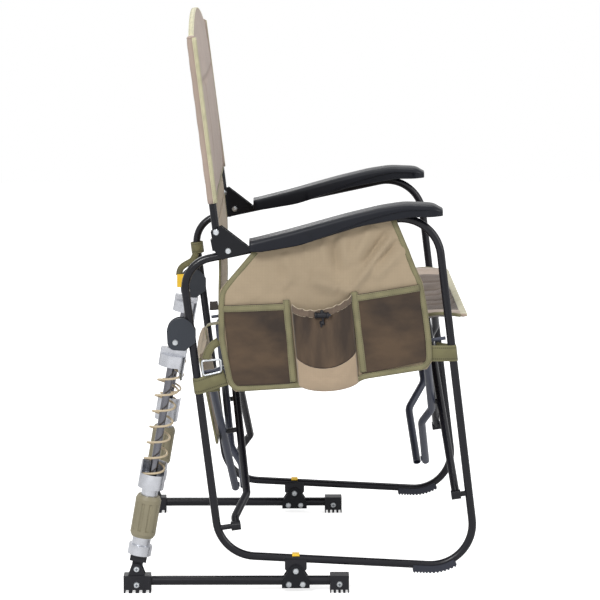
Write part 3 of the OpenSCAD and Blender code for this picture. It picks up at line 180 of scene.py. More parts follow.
def area_light(name, place, target, size, power):
    data = bpy.data.lights.new(name, "AREA")
    data.shape = "RECTANGLE"
    data.size, data.size_y = size
    data.energy = power
    lamp = bpy.data.objects.new(name, data)
    bpy.context.scene.collection.objects.link(lamp)
    lamp.location = place
    aim = Vector(target) - Vector(place)
    lamp.rotation_euler = aim.to_track_quat("-Z", "Y").to_euler()


def white_seen(tree):
    """1 where a camera, glossy or transmission ray looks, so that the background shows white."""
    path = node(tree, "ShaderNodeLightPath").outputs
    both = calc(tree, "MAXIMUM", path["Is Camera Ray"], path["Is Glossy Ray"])
    return calc(tree, "MAXIMUM", both, path["Is Transmission Ray"])


def make_world():
    world = bpy.data.worlds.new("studio")
    bpy.context.scene.world = world
    world.use_nodes = True
    tree = world.node_tree
    tree.nodes.clear()
    ambient = node(tree, "ShaderNodeBackground", {"Color": WHITE, "Strength": AMBIENT}).outputs[0]
    shown = node(tree, "ShaderNodeBackground", {"Color": WHITE, "Strength": 1.0}).outputs[0]
    chosen = node(tree, "ShaderNodeMixShader", {0: white_seen(tree), 1: ambient, 2: shown}).outputs[0]
    node(tree, "ShaderNodeOutputWorld", {0: chosen})


def make_floor():
    """Pale paper that also glows, for the camera alone, so that it shows white."""
    half = FLOOR_SIZE / 2
    mesh = bpy.data.meshes.new("floor")
    corners = [(-half, -half, 0), (half, -half, 0), (half, half, 0), (-half, half, 0)]
    mesh.from_pydata(corners, [], [(0, 1, 2, 3)])
    floor = bpy.data.objects.new("floor", mesh)
    bpy.context.scene.collection.objects.link(floor)
    material = bpy.data.materials.new("floor_paper")
    material.use_nodes = True
    tree = material.node_tree
    tree.nodes.clear()
    paper = node(tree, "ShaderNodeBsdfDiffuse", {"Color": FLOOR_PAPER}).outputs[0]
    glow = node(tree, "ShaderNodeEmission", {"Strength": FLOOR_GLOW}).outputs[0]
    dark = node(tree, "ShaderNodeEmission", {"Strength": 0}).outputs[0]
    camera_ray = node(tree, "ShaderNodeLightPath").outputs["Is Camera Ray"]
    seen = node(tree, "ShaderNodeMixShader", {0: camera_ray, 1: dark, 2: glow}).outputs[0]
    both = node(tree, "ShaderNodeAddShader", {0: paper, 1: seen}).outputs[0]
    node(tree, "ShaderNodeOutputMaterial", {0: both})
    mesh.materials.append(material)


WHITE = (1, 1, 1, 1)
AMBIENT = 0.5
FLOOR_SIZE = 12
FLOOR_PAPER = (0.86, 0.86, 0.86, 1)
FLOOR_GLOW = 0.7
# Each lamp: its place, what it looks at and its size in metres, and its power in watts
LAMPS = {
    "key": ((-1.6, -3.2, 2.6), (0, 0, 0.5), (1.1, 1.1), 84),
    "front_fill": ((2.6, -1.6, 1.6), (0, 0, 0.5), (1.2, 1.6), 24),
    "back_fill": ((-1.2, 3.0, 2.2), (0, 0, 0.5), (1.6, 1.6), 30),
    "top": ((0.2, 0.1, 3.2), (0, 0, 0.4), (1.4, 1.4), 26),
}
make_camera()
make_world()
make_floor()
for name, lamp in LAMPS.items():
    area_light(name, *lamp)
bpy.context.scene.view_settings.view_transform = "Standard"


# Materials
def colour(red, green, blue):
    """A colour written as it looks on screen, from 0 to 255."""
    def linear(c):
        c /= 255
        return c / 12.92 if c <= 0.04045 else ((c + 0.055) / 1.055) ** 2.4
    return (linear(red), linear(green), linear(blue), 1)


def ramp(tree, source, low, high, dark, light):
    """Blends two colours as a value goes from low to high."""
    made = node(tree, "ShaderNodeValToRGB", {"Fac": source})
    for stop, place, tone in zip(made.color_ramp.elements, (low, high), (dark, light)):
        stop.position, stop.color = place, tone
    return made.outputs["Color"]


def number_range(tree, source, low, high, to_low, to_high):
    values = {"Value": source, "From Min": low, "From Max": high, "To Min": to_low, "To Max": to_high}
    return node(tree, "ShaderNodeMapRange", values).outputs["Result"]


def blended(tree, share, under, over):
    """One colour with a share of another over it."""
    inputs = {"Factor": share, "A": under, "B": over}
    return node(tree, "ShaderNodeMix", inputs, data_type="RGBA").outputs["Result"]


def shaded(name):
    material = bpy.data.materials.new(name)
    material.use_nodes = True
    tree = material.node_tree
    return material, tree, tree.nodes["Principled BSDF"], node(tree, "ShaderNodeTexCoord")


def scaled(rgba, share):
    return tuple(c * share for c in rgba[:3]) + (1,)


def bump(tree, shader, height, depth, strength, under=None):
    """Relief with a depth in millimetres, over another relief if one is given."""
    inputs = {"Height": height, "Distance": depth * MM, "Strength": strength}
    if under is not None:
        inputs["Normal"] = under
    set_inputs(tree, shader, {"Normal": node(tree, "ShaderNodeBump", inputs).outputs["Normal"]})


def noise_at(tree, coords, size, detail=2.0, stretch=None):
    """Noise whose marks are about size millimetres across."""
    vector = coords.outputs["Object"]
    if stretch:
        vector = node(tree, "ShaderNodeMapping", {"Vector": vector, "Scale": stretch}).outputs[0]
    inputs = {"Vector": vector, "Scale": 1 / (size * MM), "Detail": detail}
    return node(tree, "ShaderNodeTexNoise", inputs).outputs["Fac"]


def powder_coat(name, paint, low_gloss, high_gloss, grain, shine=0.5):
    """Baked paint on steel: a fine orange peel, uneven gloss and a few lighter rubs."""
    material, tree, shader, coords = shaded(name)
    broad = noise_at(tree, coords, 90, 3)
    tint = ramp(tree, broad, 0.3, 0.7, scaled(paint, 0.86), scaled(paint, 1.16))
    rub = number_range(tree, noise_at(tree, coords, 7, 4), 0.66, 0.76, 0.0, 0.35)
    set_inputs(tree, shader, {
        "Base Color": blended(tree, rub, tint, scaled(paint, 1.9)),
        "Roughness": number_range(tree, broad, 0.3, 0.7, low_gloss, high_gloss),
        "Specular IOR Level": shine,
    })
    bump(tree, shader, noise_at(tree, coords, grain, 2), 0.05, 0.35)
    return material


def moulded(name, tone, roughness, grain, depth, shine=0.5):
    """Moulded plastic: a fine texture, soft patches and slightly polished high spots."""
    material, tree, shader, coords = shaded(name)
    broad, fine = noise_at(tree, coords, 60, 3), noise_at(tree, coords, grain, 3)
    set_inputs(tree, shader, {
        "Base Color": ramp(tree, broad, 0.3, 0.7, scaled(tone, 0.88), scaled(tone, 1.12)),
        "Roughness": number_range(tree, fine, 0.35, 0.65, roughness + 0.08, roughness - 0.06),
        "Specular IOR Level": shine,
    })
    bump(tree, shader, fine, depth, 0.5)
    return material


def bare_metal(name, tone, roughness, lines):
    """Turned or drawn metal: bright, with fine lines and faint stains."""
    material, tree, shader, coords = shaded(name)
    drawn, stain = noise_at(tree, coords, 3, 2, lines), noise_at(tree, coords, 26, 4)
    set_inputs(tree, shader, {
        "Base Color": ramp(tree, stain, 0.35, 0.62, scaled(tone, 0.8), tone),
        "Metallic": 1.0,
        "Roughness": number_range(tree, drawn, 0.3, 0.7, roughness - 0.07, roughness + 0.1),
    })
    bump(tree, shader, drawn, 0.02, 0.25)
    return material


def threads(tree, coords, pitch, axes, power=1.0):
    """Two bands of threads, a pitch in millimetres apart: their sum, or thin lines with a power."""
    waves = []
    for axis in axes:
        inputs = {"Vector": coords.outputs["Object"], "Scale": math.pi / 10 / (pitch * MM), "Distortion": 0.0}
        wave = node(tree, "ShaderNodeTexWave", inputs, bands_direction=axis).outputs["Fac"]
        waves.append(wave if power == 1.0 else calc(tree, "POWER", wave, power))
    return calc(tree, "ADD" if power == 1.0 else "MAXIMUM", *waves)


def cloth(name, tone, pitch, ripstop=0.0, patch=0.1, shading_streak=None, highlight_tone=None, sheen=0.25, axes="XZ"):
    """Woven cloth: crossed threads with painted shade in the valleys between them, a ripstop check, and soft
    patches of random tone, painted crease shade and painted highlights.
    """
    material, tree, shader, coords = shaded(name)
    # Soft patches: random tone mixed with painted crease shade; their lighter end is a painted highlight, and
    # a stretch given for them draws the painted shading in streaks.
    broad = noise_at(tree, coords, 70, 4, shading_streak)
    base = ramp(tree, broad, 0.34, 0.66, scaled(tone, 1 - patch), highlight_tone or scaled(tone, 1 + patch))
    height = threads(tree, coords, pitch, axes)
    # Painted shade: the cloth is darker in the valleys between its threads.
    base = blended(tree, number_range(tree, height, 0.6, 1.4, 0.16, 0.0), base, scaled(tone, 0.45))
    if ripstop:
        check = threads(tree, coords, ripstop, axes, 24.0)
        base = blended(tree, number_range(tree, check, 0.3, 1.0, 0.0, 0.22), base, scaled(tone, 0.7))
        height = calc(tree, "ADD", height, calc(tree, "MULTIPLY", check, 1.5))
    set_inputs(tree, shader, {
        "Base Color": base, "Roughness": 0.82, "Sheen Weight": sheen, "Sheen Roughness": 0.45,
    })
    creases = {"Height": noise_at(tree, coords, 14, 3), "Distance": 0.9 * MM, "Strength": 0.35}
    bump(tree, shader, height, 0.12, 0.4, node(tree, "ShaderNodeBump", creases).outputs["Normal"])
    return material


# Webbing: ribs across a band, the pitch of its picks, and its rows of stitches
RIBS, PICK = 9, 1.1
STITCH_ROW, STITCH_PITCH, STITCH_SHARE = 0.34, 3.2, 0.68


def webbing(name, tone, thread_tone):
    """Flat webbing: ribs along it, a paler selvedge and a row of stitches down each edge.
    Its UV runs across the band from 0 to 1, and along it in metres."""
    material, tree, shader, coords = shaded(name)
    place = node(tree, "ShaderNodeSeparateXYZ", {"Vector": coords.outputs["UV"]})
    across, run = place.outputs["X"], place.outputs["Y"]
    ribs = calc(tree, "SINE", calc(tree, "MULTIPLY", across, 2 * math.pi * RIBS))
    picks = calc(tree, "SINE", calc(tree, "MULTIPLY", run, 2 * math.pi / (PICK * MM)))
    base = ramp(tree, noise_at(tree, coords, 22, 4), 0.3, 0.7, scaled(tone, 0.84), scaled(tone, 1.14))
    off = calc(tree, "ABSOLUTE", calc(tree, "SUBTRACT", across, 0.5))
    base = blended(tree, number_range(tree, off, 0.4, 0.47, 0.0, 0.3), base, thread_tone)
    row = calc(tree, "ABSOLUTE", calc(tree, "SUBTRACT", off, STITCH_ROW))
    row = number_range(tree, row, 0.02, 0.05, 1.0, 0.0)
    dash = calc(tree, "FRACT", calc(tree, "MULTIPLY", run, 1 / (STITCH_PITCH * MM)))
    stitch = calc(tree, "MULTIPLY", row, calc(tree, "LESS_THAN", dash, STITCH_SHARE))
    set_inputs(tree, shader, {
        "Base Color": blended(tree, stitch, base, scaled(tone, 0.42)),
        "Roughness": 0.75, "Sheen Weight": 0.3, "Sheen Roughness": 0.4,
    })
    weave = calc(tree, "MULTIPLY", ribs, picks)
    bump(tree, shader, calc(tree, "ADD", weave, calc(tree, "MULTIPLY", stitch, -1.2)), 0.12, 0.45)
    return material


OLIVE = colour(122, 117, 86)
OLIVE_THREAD = colour(146, 141, 108)
TAN = colour(163, 146, 121)
MAUVE_TAN = colour(168, 150, 138)
CREAM = colour(190, 185, 158)
BROWN = colour(74, 58, 45)
black_paint = powder_coat("black_paint", colour(20, 20, 26), 0.2, 0.32, 0.9, 0.32)
slate_paint = powder_coat("slate_paint", colour(56, 60, 74), 0.28, 0.42, 0.9, 0.4)
bracket_paint = powder_coat("bracket_paint", colour(16, 17, 22), 0.34, 0.5, 0.8, 0.25)
shock_plate_paint = powder_coat("shock_plate_paint", colour(42, 46, 53), 0.42, 0.58, 0.8, 0.35)
black_plastic = moulded("black_moulding", colour(22, 22, 28), 0.5, 1.1, 0.06, 0.35)
slate_plastic = moulded("slate_moulding", colour(40, 43, 54), 0.42, 0.8, 0.05, 0.4)
arm_plastic = moulded("armrest_moulding", colour(12, 15, 24), 0.4, 0.7, 0.05, 0.28)
sleeve_plastic = moulded("sleeve_moulding", colour(134, 127, 104), 0.5, 1.4, 0.08)
yellow_plastic = moulded("yellow_moulding", colour(245, 200, 50), 0.45, 1.6, 0.05)
silver_metal = bare_metal("turned_silver", colour(206, 208, 214), 0.26, (9, 9, 1))
chrome_metal = bare_metal("chromed_rod", colour(122, 122, 128), 0.2, (9, 9, 1))
zinc_metal = bare_metal("bright_zinc", colour(212, 216, 220), 0.26, (1, 1, 1))
spring_paint = powder_coat("spring_paint", colour(186, 170, 142), 0.4, 0.55, 1.2)
# Painted shade: darker metal for the shaded cross recesses of the rivets.
recess_shade_metal = bare_metal("rivet_recess_shade", colour(90, 95, 104), 0.45, (1, 1, 1))
panel_cloth = cloth("panel_ripstop", TAN, 0.9, 5.0, 0.06)
tan_cloth = cloth("tan_ripstop", TAN, 0.9, 5.0, 0.07, axes="YZ")
mauve_cloth = cloth("mauve_tan_ripstop", MAUVE_TAN, 0.9, 5.0, 0.08, axes="YZ")
cream_cloth = cloth("cream_olive_cloth", CREAM, 0.9, 5.0, 0.06, axes="XY")
seat_tan_cloth = cloth("seat_tan_ripstop", colour(166, 149, 134), 0.9, 5.0, 0.07, axes="XY")
brown_cloth = cloth("brown_oxford", BROWN, 1.1, 0.0, 0.12, None, colour(86, 68, 53), axes="XY")
# Mesh pockets: streaked patches of painted shading, their lighter tone a painted highlight.
POCKET_SHADING_STREAK = (0.8, 1, 1.5)
CUP_SHADING_STREAK = (1.8, 1, 0.4)
pocket_mesh = cloth("pocket_mesh", colour(50, 38, 29), 1.6, 0, 0.16, POCKET_SHADING_STREAK, colour(86, 68, 50), 0.12)
cup_mesh = cloth("cup_mesh", colour(56, 43, 33), 1.6, 0, 0.16, CUP_SHADING_STREAK, colour(104, 84, 64), 0.12)
hem_cloth = cloth("hem_mesh", colour(108, 92, 78), 1.4, 0.0, 0.2)
olive_webbing = webbing("olive_webbing", OLIVE, OLIVE_THREAD)
pale_webbing = webbing("pale_webbing", colour(194, 189, 154), colour(214, 210, 180))
strap_webbing = webbing("strap_webbing", colour(106, 102, 70), colour(124, 120, 88))
dark_cord = cloth("dark_cord", colour(40, 34, 30), 0.8, 0.0, 0.1)


# Mesh tools
def add_mesh(name, points, faces, material, sharp=None):
    mesh = bpy.data.meshes.new(name)
    mesh.from_pydata([tuple(p) for p in points], [], faces)
    mesh.materials.append(material)
    mesh.polygons.foreach_set("use_smooth", [True] * len(mesh.polygons))
    if sharp is not None:
        mesh.set_sharp_from_angle(angle=math.radians(sharp))
    mesh.validate()
    piece = bpy.data.objects.new(name, mesh)
    bpy.context.scene.collection.objects.link(piece)
    return piece


def grid(nu, nv, place):
    """Points and faces of a sheet; place(u, v) gives a point for shares from 0 to 1."""
    points = [place(i / nu, j / nv) for i in range(nu + 1) for j in range(nv + 1)]
    row = nv + 1
    faces = [
        (i * row + j, (i + 1) * row + j, (i + 1) * row + j + 1, i * row + j + 1)
        for i in range(nu) for j in range(nv)
    ]
    return points, faces


def sheet_piece(name, nu, nv, place, thick, material, offset=1.0):
    """A cloth sheet with a real thickness."""
    points, faces = grid(nu, nv, place)
    piece = add_mesh(name, points, faces, material)
    solid = piece.modifiers.new("thickness", "SOLIDIFY")
    solid.thickness = thick * MM
    solid.offset = offset
    apply_modifiers(piece)
    return piece


def apply_modifiers(piece):
    graph = bpy.context.evaluated_depsgraph_get()
    graph.update()
    mesh = bpy.data.meshes.new_from_object(piece.evaluated_get(graph), depsgraph=graph)
    piece.modifiers.clear()
    piece.data = mesh


def loft(name, rings, material, closed=False, sharp=None):
    """Joins rings of points, each ring a closed outline, and fills both ends."""
    count = len(rings[0])
    points = [p for ring in rings for p in ring]
    faces = []
    spans = len(rings) if closed else len(rings) - 1
    for i in range(spans):
        a, b = i * count, (i + 1) % len(rings) * count
        for k in range(count):
            m = (k + 1) % count
            faces.append((a + k, a + m, b + m, b + k))
    if not closed:
        faces.append(tuple(reversed(range(count))))
        faces.append(tuple(range((len(rings) - 1) * count, len(rings) * count)))
    piece = add_mesh(name, points, faces, material, sharp)
    fix_normals(piece)
    return piece


def fix_normals(piece):
    work = bmesh.new()
    work.from_mesh(piece.data)
    bmesh.ops.recalc_face_normals(work, faces=work.faces)
    work.to_mesh(piece.data)
    work.free()


def frames_along(path, closed, up):
    """Tangent, side and normal at each point of a path; up is one vector, or one for each point."""
    made, n = [], len(path)
    for i, p in enumerate(path):
        before = path[(i - 1) % n] if closed or i > 0 else p
        after = path[(i + 1) % n] if closed or i < n - 1 else p
        tangent = (after - before).normalized()
        wish = up[i] if isinstance(up, list) else up
        side = tangent.cross(wish).normalized()
        made.append((tangent, side, side.cross(tangent).normalized()))
    return made


def tube(name, path, radius, material, sides=10, closed=False, up=Vector((0.1, 1, 0.3))):
    """A round tube along a path. radius is a number, or a function of the share along the path."""
    rings = []
    for i, (p, (_, side, normal)) in enumerate(zip(path, frames_along(path, closed, up))):
        r = radius(i / (len(path) - 1)) if callable(radius) else radius
        turns = [2 * math.pi * k / sides for k in range(sides)]
        rings.append([p + (side * math.cos(a) + normal * math.sin(a)) * (r * MM) for a in turns])
    return loft(name, rings, material, closed)


def band(name, path, normals, width, thick, material, closed=False):
    """Flat webbing along a path, with its face along normals and rounded edges."""
    half, deep, edge = width / 2, thick / 2, thick * 0.35
    outline = [
        (-half, -deep + edge), (-half + edge, -deep), (half - edge, -deep), (half, -deep + edge),
        (half, deep - edge), (half - edge, deep), (-half + edge, deep), (-half, deep - edge),
    ]
    rings, lengths, run = [], [], 0.0
    for i, (p, (_, side, normal)) in enumerate(zip(path, frames_along(path, closed, normals))):
        if i:
            run += (p - path[i - 1]).length
        lengths.append(run)
        rings.append([p + (side * a + normal * b) * MM for a, b in outline])
    piece = loft(name, rings, material, closed)
    total = run + (path[0] - path[-1]).length
    layer = piece.data.uv_layers.new(name="UVMap")
    count = len(outline)
    for face in piece.data.polygons:
        rows = {piece.data.loops[i].vertex_index // count for i in face.loop_indices}
        wraps = closed and rows == {0, len(rings) - 1}
        for i in face.loop_indices:
            row, k = divmod(piece.data.loops[i].vertex_index, count)
            v = total if wraps and row == 0 else lengths[row]
            layer.data[i].uv = ((outline[k][0] + half) / width, v)
    return piece


def resample(points, step, closed=False):
    """Evenly spaced points along a line of points, about step millimetres apart."""
    line = [Vector(p) for p in points] + ([Vector(points[0])] if closed else [])
    reach = [0.0]
    for a, b in zip(line, line[1:]):
        reach.append(reach[-1] + (b - a).length)
    count = max(2, round(reach[-1] / step))
    made, k = [], 0
    for i in range(count if closed else count + 1):
        want = reach[-1] * i / count
        while k < len(line) - 2 and reach[k + 1] < want:
            k += 1
        span = reach[k + 1] - reach[k]
        made.append(line[k].lerp(line[k + 1], (want - reach[k]) / span if span else 0))
    return made


def softened(points, times, closed=False):
    """The same points with their corners rounded a little."""
    for _ in range(times):
        n = len(points)
        kept = points[:]
        for i in range(n):
            if closed or 0 < i < n - 1:
                kept[i] = (points[i - 1] + points[i] * 2 + points[(i + 1) % n]) / 4
        points = kept
    return points


def dress(piece, body, slot_name, replaces=(), squash_to=None):
    """Sets a piece on its body and hides the CAD nodes that it stands for; slot_name is not used."""
    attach(piece, body)
    if replaces:
        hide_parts(*replaces)
    if squash_to:
        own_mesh(piece)
    return piece


def on_side(piece, slot_name, replaces=()):
    """Sets a piece on the right side frame."""
    return dress(piece, "right_side_frame", slot_name, replaces)


# CAD nodes: finishes and softened edges
NODE_FINISH = {
    "side_loop": black_paint, "back_bracket": bracket_paint, "shock_bracket": shock_plate_paint,
    "shock_cup": silver_metal, "shock_rod": chrome_metal, "shock_sleeve": sleeve_plastic,
    "shock_tube": silver_metal, "shock_yoke": black_plastic, "base_rail": black_paint,
    "rail_feet": black_plastic, "pivot_bracket": bracket_paint, "pivot_saddle": black_plastic,
    "pivot_pad": yellow_plastic, "floor_glide": slate_plastic, "seat_rail": slate_paint,
    "rear_leg": black_paint, "front_leg": black_paint, "leg_stubs": black_paint,
    "back_post": black_paint, "base_rivets": zinc_metal, "frame_rivets": zinc_metal,
}
SINGLE_FINISH = {"cord_lock": black_plastic, "cord_lock_button": slate_plastic, "strap_tag": yellow_plastic}
SOFT_EDGES = {
    "back_bracket": 0.7, "shock_bracket": 0.8, "rail_feet": 0.9, "pivot_bracket": 0.7, "pivot_saddle": 0.8,
    "shock_yoke": 0.8, "shock_sleeve": 0.6, "shock_cup": 0.5, "shock_tube": 0.5, "cord_lock": 0.5,
    "floor_glide": 0.5, "rear_leg": 0.6, "front_leg": 0.6, "seat_rail": 0.6, "strap_tag": 0.8,
}
SMOOTH_BELOW = 35


def finish_cad_nodes():
    for name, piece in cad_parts.items():
        kind = name.split("_", 1)[1] if name.startswith(("right_", "left_")) else name
        finish = SINGLE_FINISH.get(name) or NODE_FINISH.get(kind)
        if finish is None:
            continue
        piece.data.materials.clear()
        piece.data.materials.append(finish)
        for face in piece.data.polygons:
            face.material_index = 0
            face.use_smooth = True
        piece.data.set_sharp_from_angle(angle=math.radians(SMOOTH_BELOW))
        if kind in SOFT_EDGES:
            edge = piece.modifiers.new("soft_edge", "BEVEL")
            edge.width = SOFT_EDGES[kind] * MM
            edge.segments = 2
            edge.limit_method = "ANGLE"
            edge.angle_limit = math.radians(SMOOTH_BELOW)
            edge.harden_normals = False


finish_cad_nodes()


# Armrests: a moulded shell over the top tube, with a swoosh along each side
ARM_REAR_X = -77
ARM_LEN = 320
# Heights of its upper and lower edge, by share of its length
ARM_TOP = [
    (0, 600.5), (0.2, 616.5), (0.5, 643.3), (0.68, 657.2),
    (0.8, 663), (0.95, 661.3), (0.985, 657.5), (1, 649),
]
ARM_LOW = [
    (0, 585), (0.04, 582.5), (0.25, 593.9), (0.57, 625.8),
    (0.76, 636.8), (0.83, 640.9), (0.92, 641), (1, 643),
]
ARM_HALF = 27
ARM_SHIFT = 4
ARM_STATIONS = 64
ARM_STEP = 2.4
ARM_EDGE = 7.5
SWOOSH_FROM, SWOOSH_TO = 0.3, 0.84
ARM_GROOVE = 7.3


def curve_at(points, t):
    """A line through a few points, by share."""
    for (t0, v0), (t1, v1) in zip(points, points[1:]):
        if t <= t1:
            return v0 + (v1 - v0) * (t - t0) / (t1 - t0)
    return points[-1][1]


def eased_curve(points, t):
    """The same line with its corners rounded, by an average over a short stretch."""
    reach = 0.03
    near = [curve_at(points, min(max(t + reach * k / 3, 0), 1)) for k in range(-3, 4)]
    return sum(near) / len(near)


def top_tube_z(x):
    return mix(TOP_REAR[1], TOP_FRONT[1], (x - TOP_REAR[0]) / (TOP_FRONT[0] - TOP_REAR[0]))


def arm_ring(side, t):
    x = ARM_REAR_X + ARM_LEN * t
    top, low = eased_curve(ARM_TOP, t), eased_curve(ARM_LOW, t)
    rear_round = math.sqrt(max(0.0, 1 - max(0, 1 - t / 0.02) ** 2))
    front_round = math.sqrt(max(0.0, 1 - max(0, (t - 0.93) / 0.07) ** 2))
    half = ARM_HALF * (0.9 + 0.1 * rear_round) * (0.62 + 0.38 * front_round)
    swoosh = smooth_step((t - SWOOSH_FROM) / (SWOOSH_TO - SWOOSH_FROM))
    fade = smooth_step((t - SWOOSH_FROM) / 0.06) * (1 - smooth_step((t - 0.9) / 0.05))
    ledge = low + 0.6 + (top - low) * 0.52 * swoosh
    step = ARM_STEP * fade
    edge = min(ARM_EDGE, (top - low) * 0.45)
    roof = min(max(top_tube_z(x) + TUBE_R + 0.6, low + 2.5), top - 3.5)
    arc = [math.radians(90 * k / 5) for k in range(6)]
    skirt = half - step
    outer = [(skirt - 1.2, low), (skirt, low + 1), (skirt, ledge - 0.4), (half, ledge + 0.5)]
    outer += [(half - edge + edge * math.cos(a), top - edge + edge * math.sin(a)) for a in arc]
    crown = [(half * k, top + 1.2 * (1 - k * k)) for k in (0.45, 0, -0.45)]
    inner = [(-y, z) for y, z in reversed(outer)]
    groove = [
        (-ARM_GROOVE - ARM_SHIFT, low), (-ARM_GROOVE - ARM_SHIFT, roof),
        (ARM_GROOVE - ARM_SHIFT, roof), (ARM_GROOVE - ARM_SHIFT, low),
    ]
    section = outer + crown + inner + groove
    return [chair(x, side * (HALF_WIDTH + ARM_SHIFT + y), z) for y, z in section]


def make_armrest(side):
    shares = [0, 0.004, 0.01] + [0.02 + 0.9 * k / ARM_STATIONS for k in range(ARM_STATIONS + 1)]
    shares += [0.935, 0.95, 0.965, 0.978, 0.988, 0.995, 1]
    name = SIDE_NAME[side]
    piece = loft(f"{name}_armrest_shell", [arm_ring(side, t) for t in shares], arm_plastic, False, 38)
    dress(piece, f"{name}_side_frame", "slate_plastic", [f"{name}_armrest"])


make_armrest(RIGHT)
make_armrest(LEFT)


# Springs: one smooth wire coiled round each shock, from its lower seat to its upper one
SPRING_LOW, SPRING_TOP = 159.3, 349.7
SPRING_TURNS = 7
SPRING_R = 18
SPRING_WIRE = 1.9
SPRING_STEPS = 36
SPRING_START = math.radians(136)


def make_spring(side):
    steps = SPRING_TURNS * SPRING_STEPS
    path = []
    for k in range(steps + 1):
        turn = SPRING_START + 2 * math.pi * k / SPRING_STEPS
        along = mix(SPRING_LOW, SPRING_TOP, k / steps)
        path.append(shock_at(side, along, SPRING_R * math.cos(turn), side * SPRING_R * math.sin(turn)))
    axis = (shock_at(side, 1, 0, 0) - shock_at(side, 0, 0, 0)).normalized()
    name = SIDE_NAME[side]
    piece = tube(f"{name}_spring_wire", path, SPRING_WIRE, spring_paint, 10, False, axis)
    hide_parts(f"{name}_shock_spring")
    tuple(shock_at(side, SPRING_LOW, 0, 0))
    tuple(shock_at(side, SPRING_TOP, 0, 0))
    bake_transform(piece)


make_spring(RIGHT)
make_spring(LEFT)


# Rivets: a dark plus on each round head, its colour painted shade for the cross recess
RIVET_HEAD = 2.2
CROSS_ARM = 2.6
CROSS_HALF = 0.55
CROSS_LIFT = 0.16
LOOP_PLATES = 9.5
PIVOT_PLATES = 10.75
EAR_PLATES = 10.8
FOOT_HALF = 13.5


def cross_piece(name, side, places, body):
    """Dark plus shapes standing a little proud of each rivet head, on the outer and inner faces; their dark
    colour is painted shade for the cross recess in the middle of the head.
    """
    a, b = CROSS_ARM, CROSS_HALF
    corner = [(b, a), (b, b), (a, b)]
    outline = []
    for _ in range(4):
        outline += corner
        corner = [(y, -x) for x, y in corner]
    work = bmesh.new()
    for x, z, half in places:
        for way in (1, -1):
            low, high = half + RIVET_HEAD * 0.6, half + RIVET_HEAD + CROSS_LIFT
            rings = []
            for out in (low, high):
                y = side * (HALF_WIDTH + way * out)
                rings.append([work.verts.new(chair(x + p, y, z + q)) for p, q in outline])
            work.faces.new(rings[1])
            work.faces.new(list(reversed(rings[0])))
            for k in range(len(outline)):
                m = (k + 1) % len(outline)
                work.faces.new((rings[0][k], rings[0][m], rings[1][m], rings[1][k]))
    bmesh.ops.recalc_face_normals(work, faces=work.faces)
    mesh = bpy.data.meshes.new(name)
    work.to_mesh(mesh)
    work.free()
    mesh.materials.append(recess_shade_metal)
    piece = bpy.data.objects.new(name, mesh)
    bpy.context.scene.collection.objects.link(piece)
    dress(piece, body, "bright_zinc")


for side, name in SIDE_NAME.items():
    cross_piece(f"{name}_frame_rivet_crosses", side, [
        (HINGE_X, HINGE_Z, LOOP_PLATES), (HINGE_X + 20, HINGE_Z - 31, LOOP_PLATES),
        (*SHOCK_TOP, LOOP_PLATES),
    ], f"{name}_side_frame")
    cross_piece(f"{name}_base_rivet_crosses", side, [
        (*SHOCK_LOW, EAR_PLATES), (*PIVOT, PIVOT_PLATES),
        (-11.75, 14, PIVOT_PLATES), (11.75, 14, PIVOT_PLATES),
        (SHOCK_LOW[0], 14, FOOT_HALF), (74, 15, FOOT_HALF),
    ], f"{name}_base")


# Padded pieces: a closed grid whose faces are blown up with cloth pressure
SIM_FRAMES = 20
SIM_PRESSURE = 4.0
SIM_SETTINGS = {
    "quality": 6, "mass": 0.25, "tension_stiffness": 18, "compression_stiffness": 14,
    "shear_stiffness": 6, "bending_stiffness": 0.6, "vertex_group_mass": "held",
    "use_pressure": True, "uniform_pressure_force": SIM_PRESSURE,
}


def pad_mesh(nu, nv, rows, place):
    """Points and faces of a closed pad. place(u, v, w) has w from 0 at the top face to 1 at the bottom.
    It also gives the loop of points round each level of the side."""
    points, index = [], {}

    def at(i, j, level):
        key = (i, j, level)
        if key not in index:
            index[key] = len(points)
            points.append(place(i / nu, j / nv, level / rows))
        return index[key]

    faces, kinds = [], []
    for i in range(nu):
        for j in range(nv):
            faces.append((at(i, j, 0), at(i + 1, j, 0), at(i + 1, j + 1, 0), at(i, j + 1, 0)))
            kinds.append("top")
    for i in range(nu):
        for j in range(nv):
            faces.append((at(i, j, rows), at(i, j + 1, rows), at(i + 1, j + 1, rows), at(i + 1, j, rows)))
            kinds.append("bottom")
    rim = [(i, 0) for i in range(nu)] + [(nu, j) for j in range(nv)]
    rim += [(i, nv) for i in range(nu, 0, -1)] + [(0, j) for j in range(nv, 0, -1)]
    for level in range(rows):
        for k in range(len(rim)):
            a, b = rim[k], rim[(k + 1) % len(rim)]
            faces.append((at(*a, level), at(*a, level + 1), at(*b, level + 1), at(*b, level)))
            side = "front" if a[0] == nu and b[0] == nu else "rear" if a[0] == 0 and b[0] == 0 else "side"
            kinds.append(f"{side}{level}")
    loops = [[index[(*c, level)] for c in rim] for level in range(rows + 1)]
    return points, faces, kinds, loops


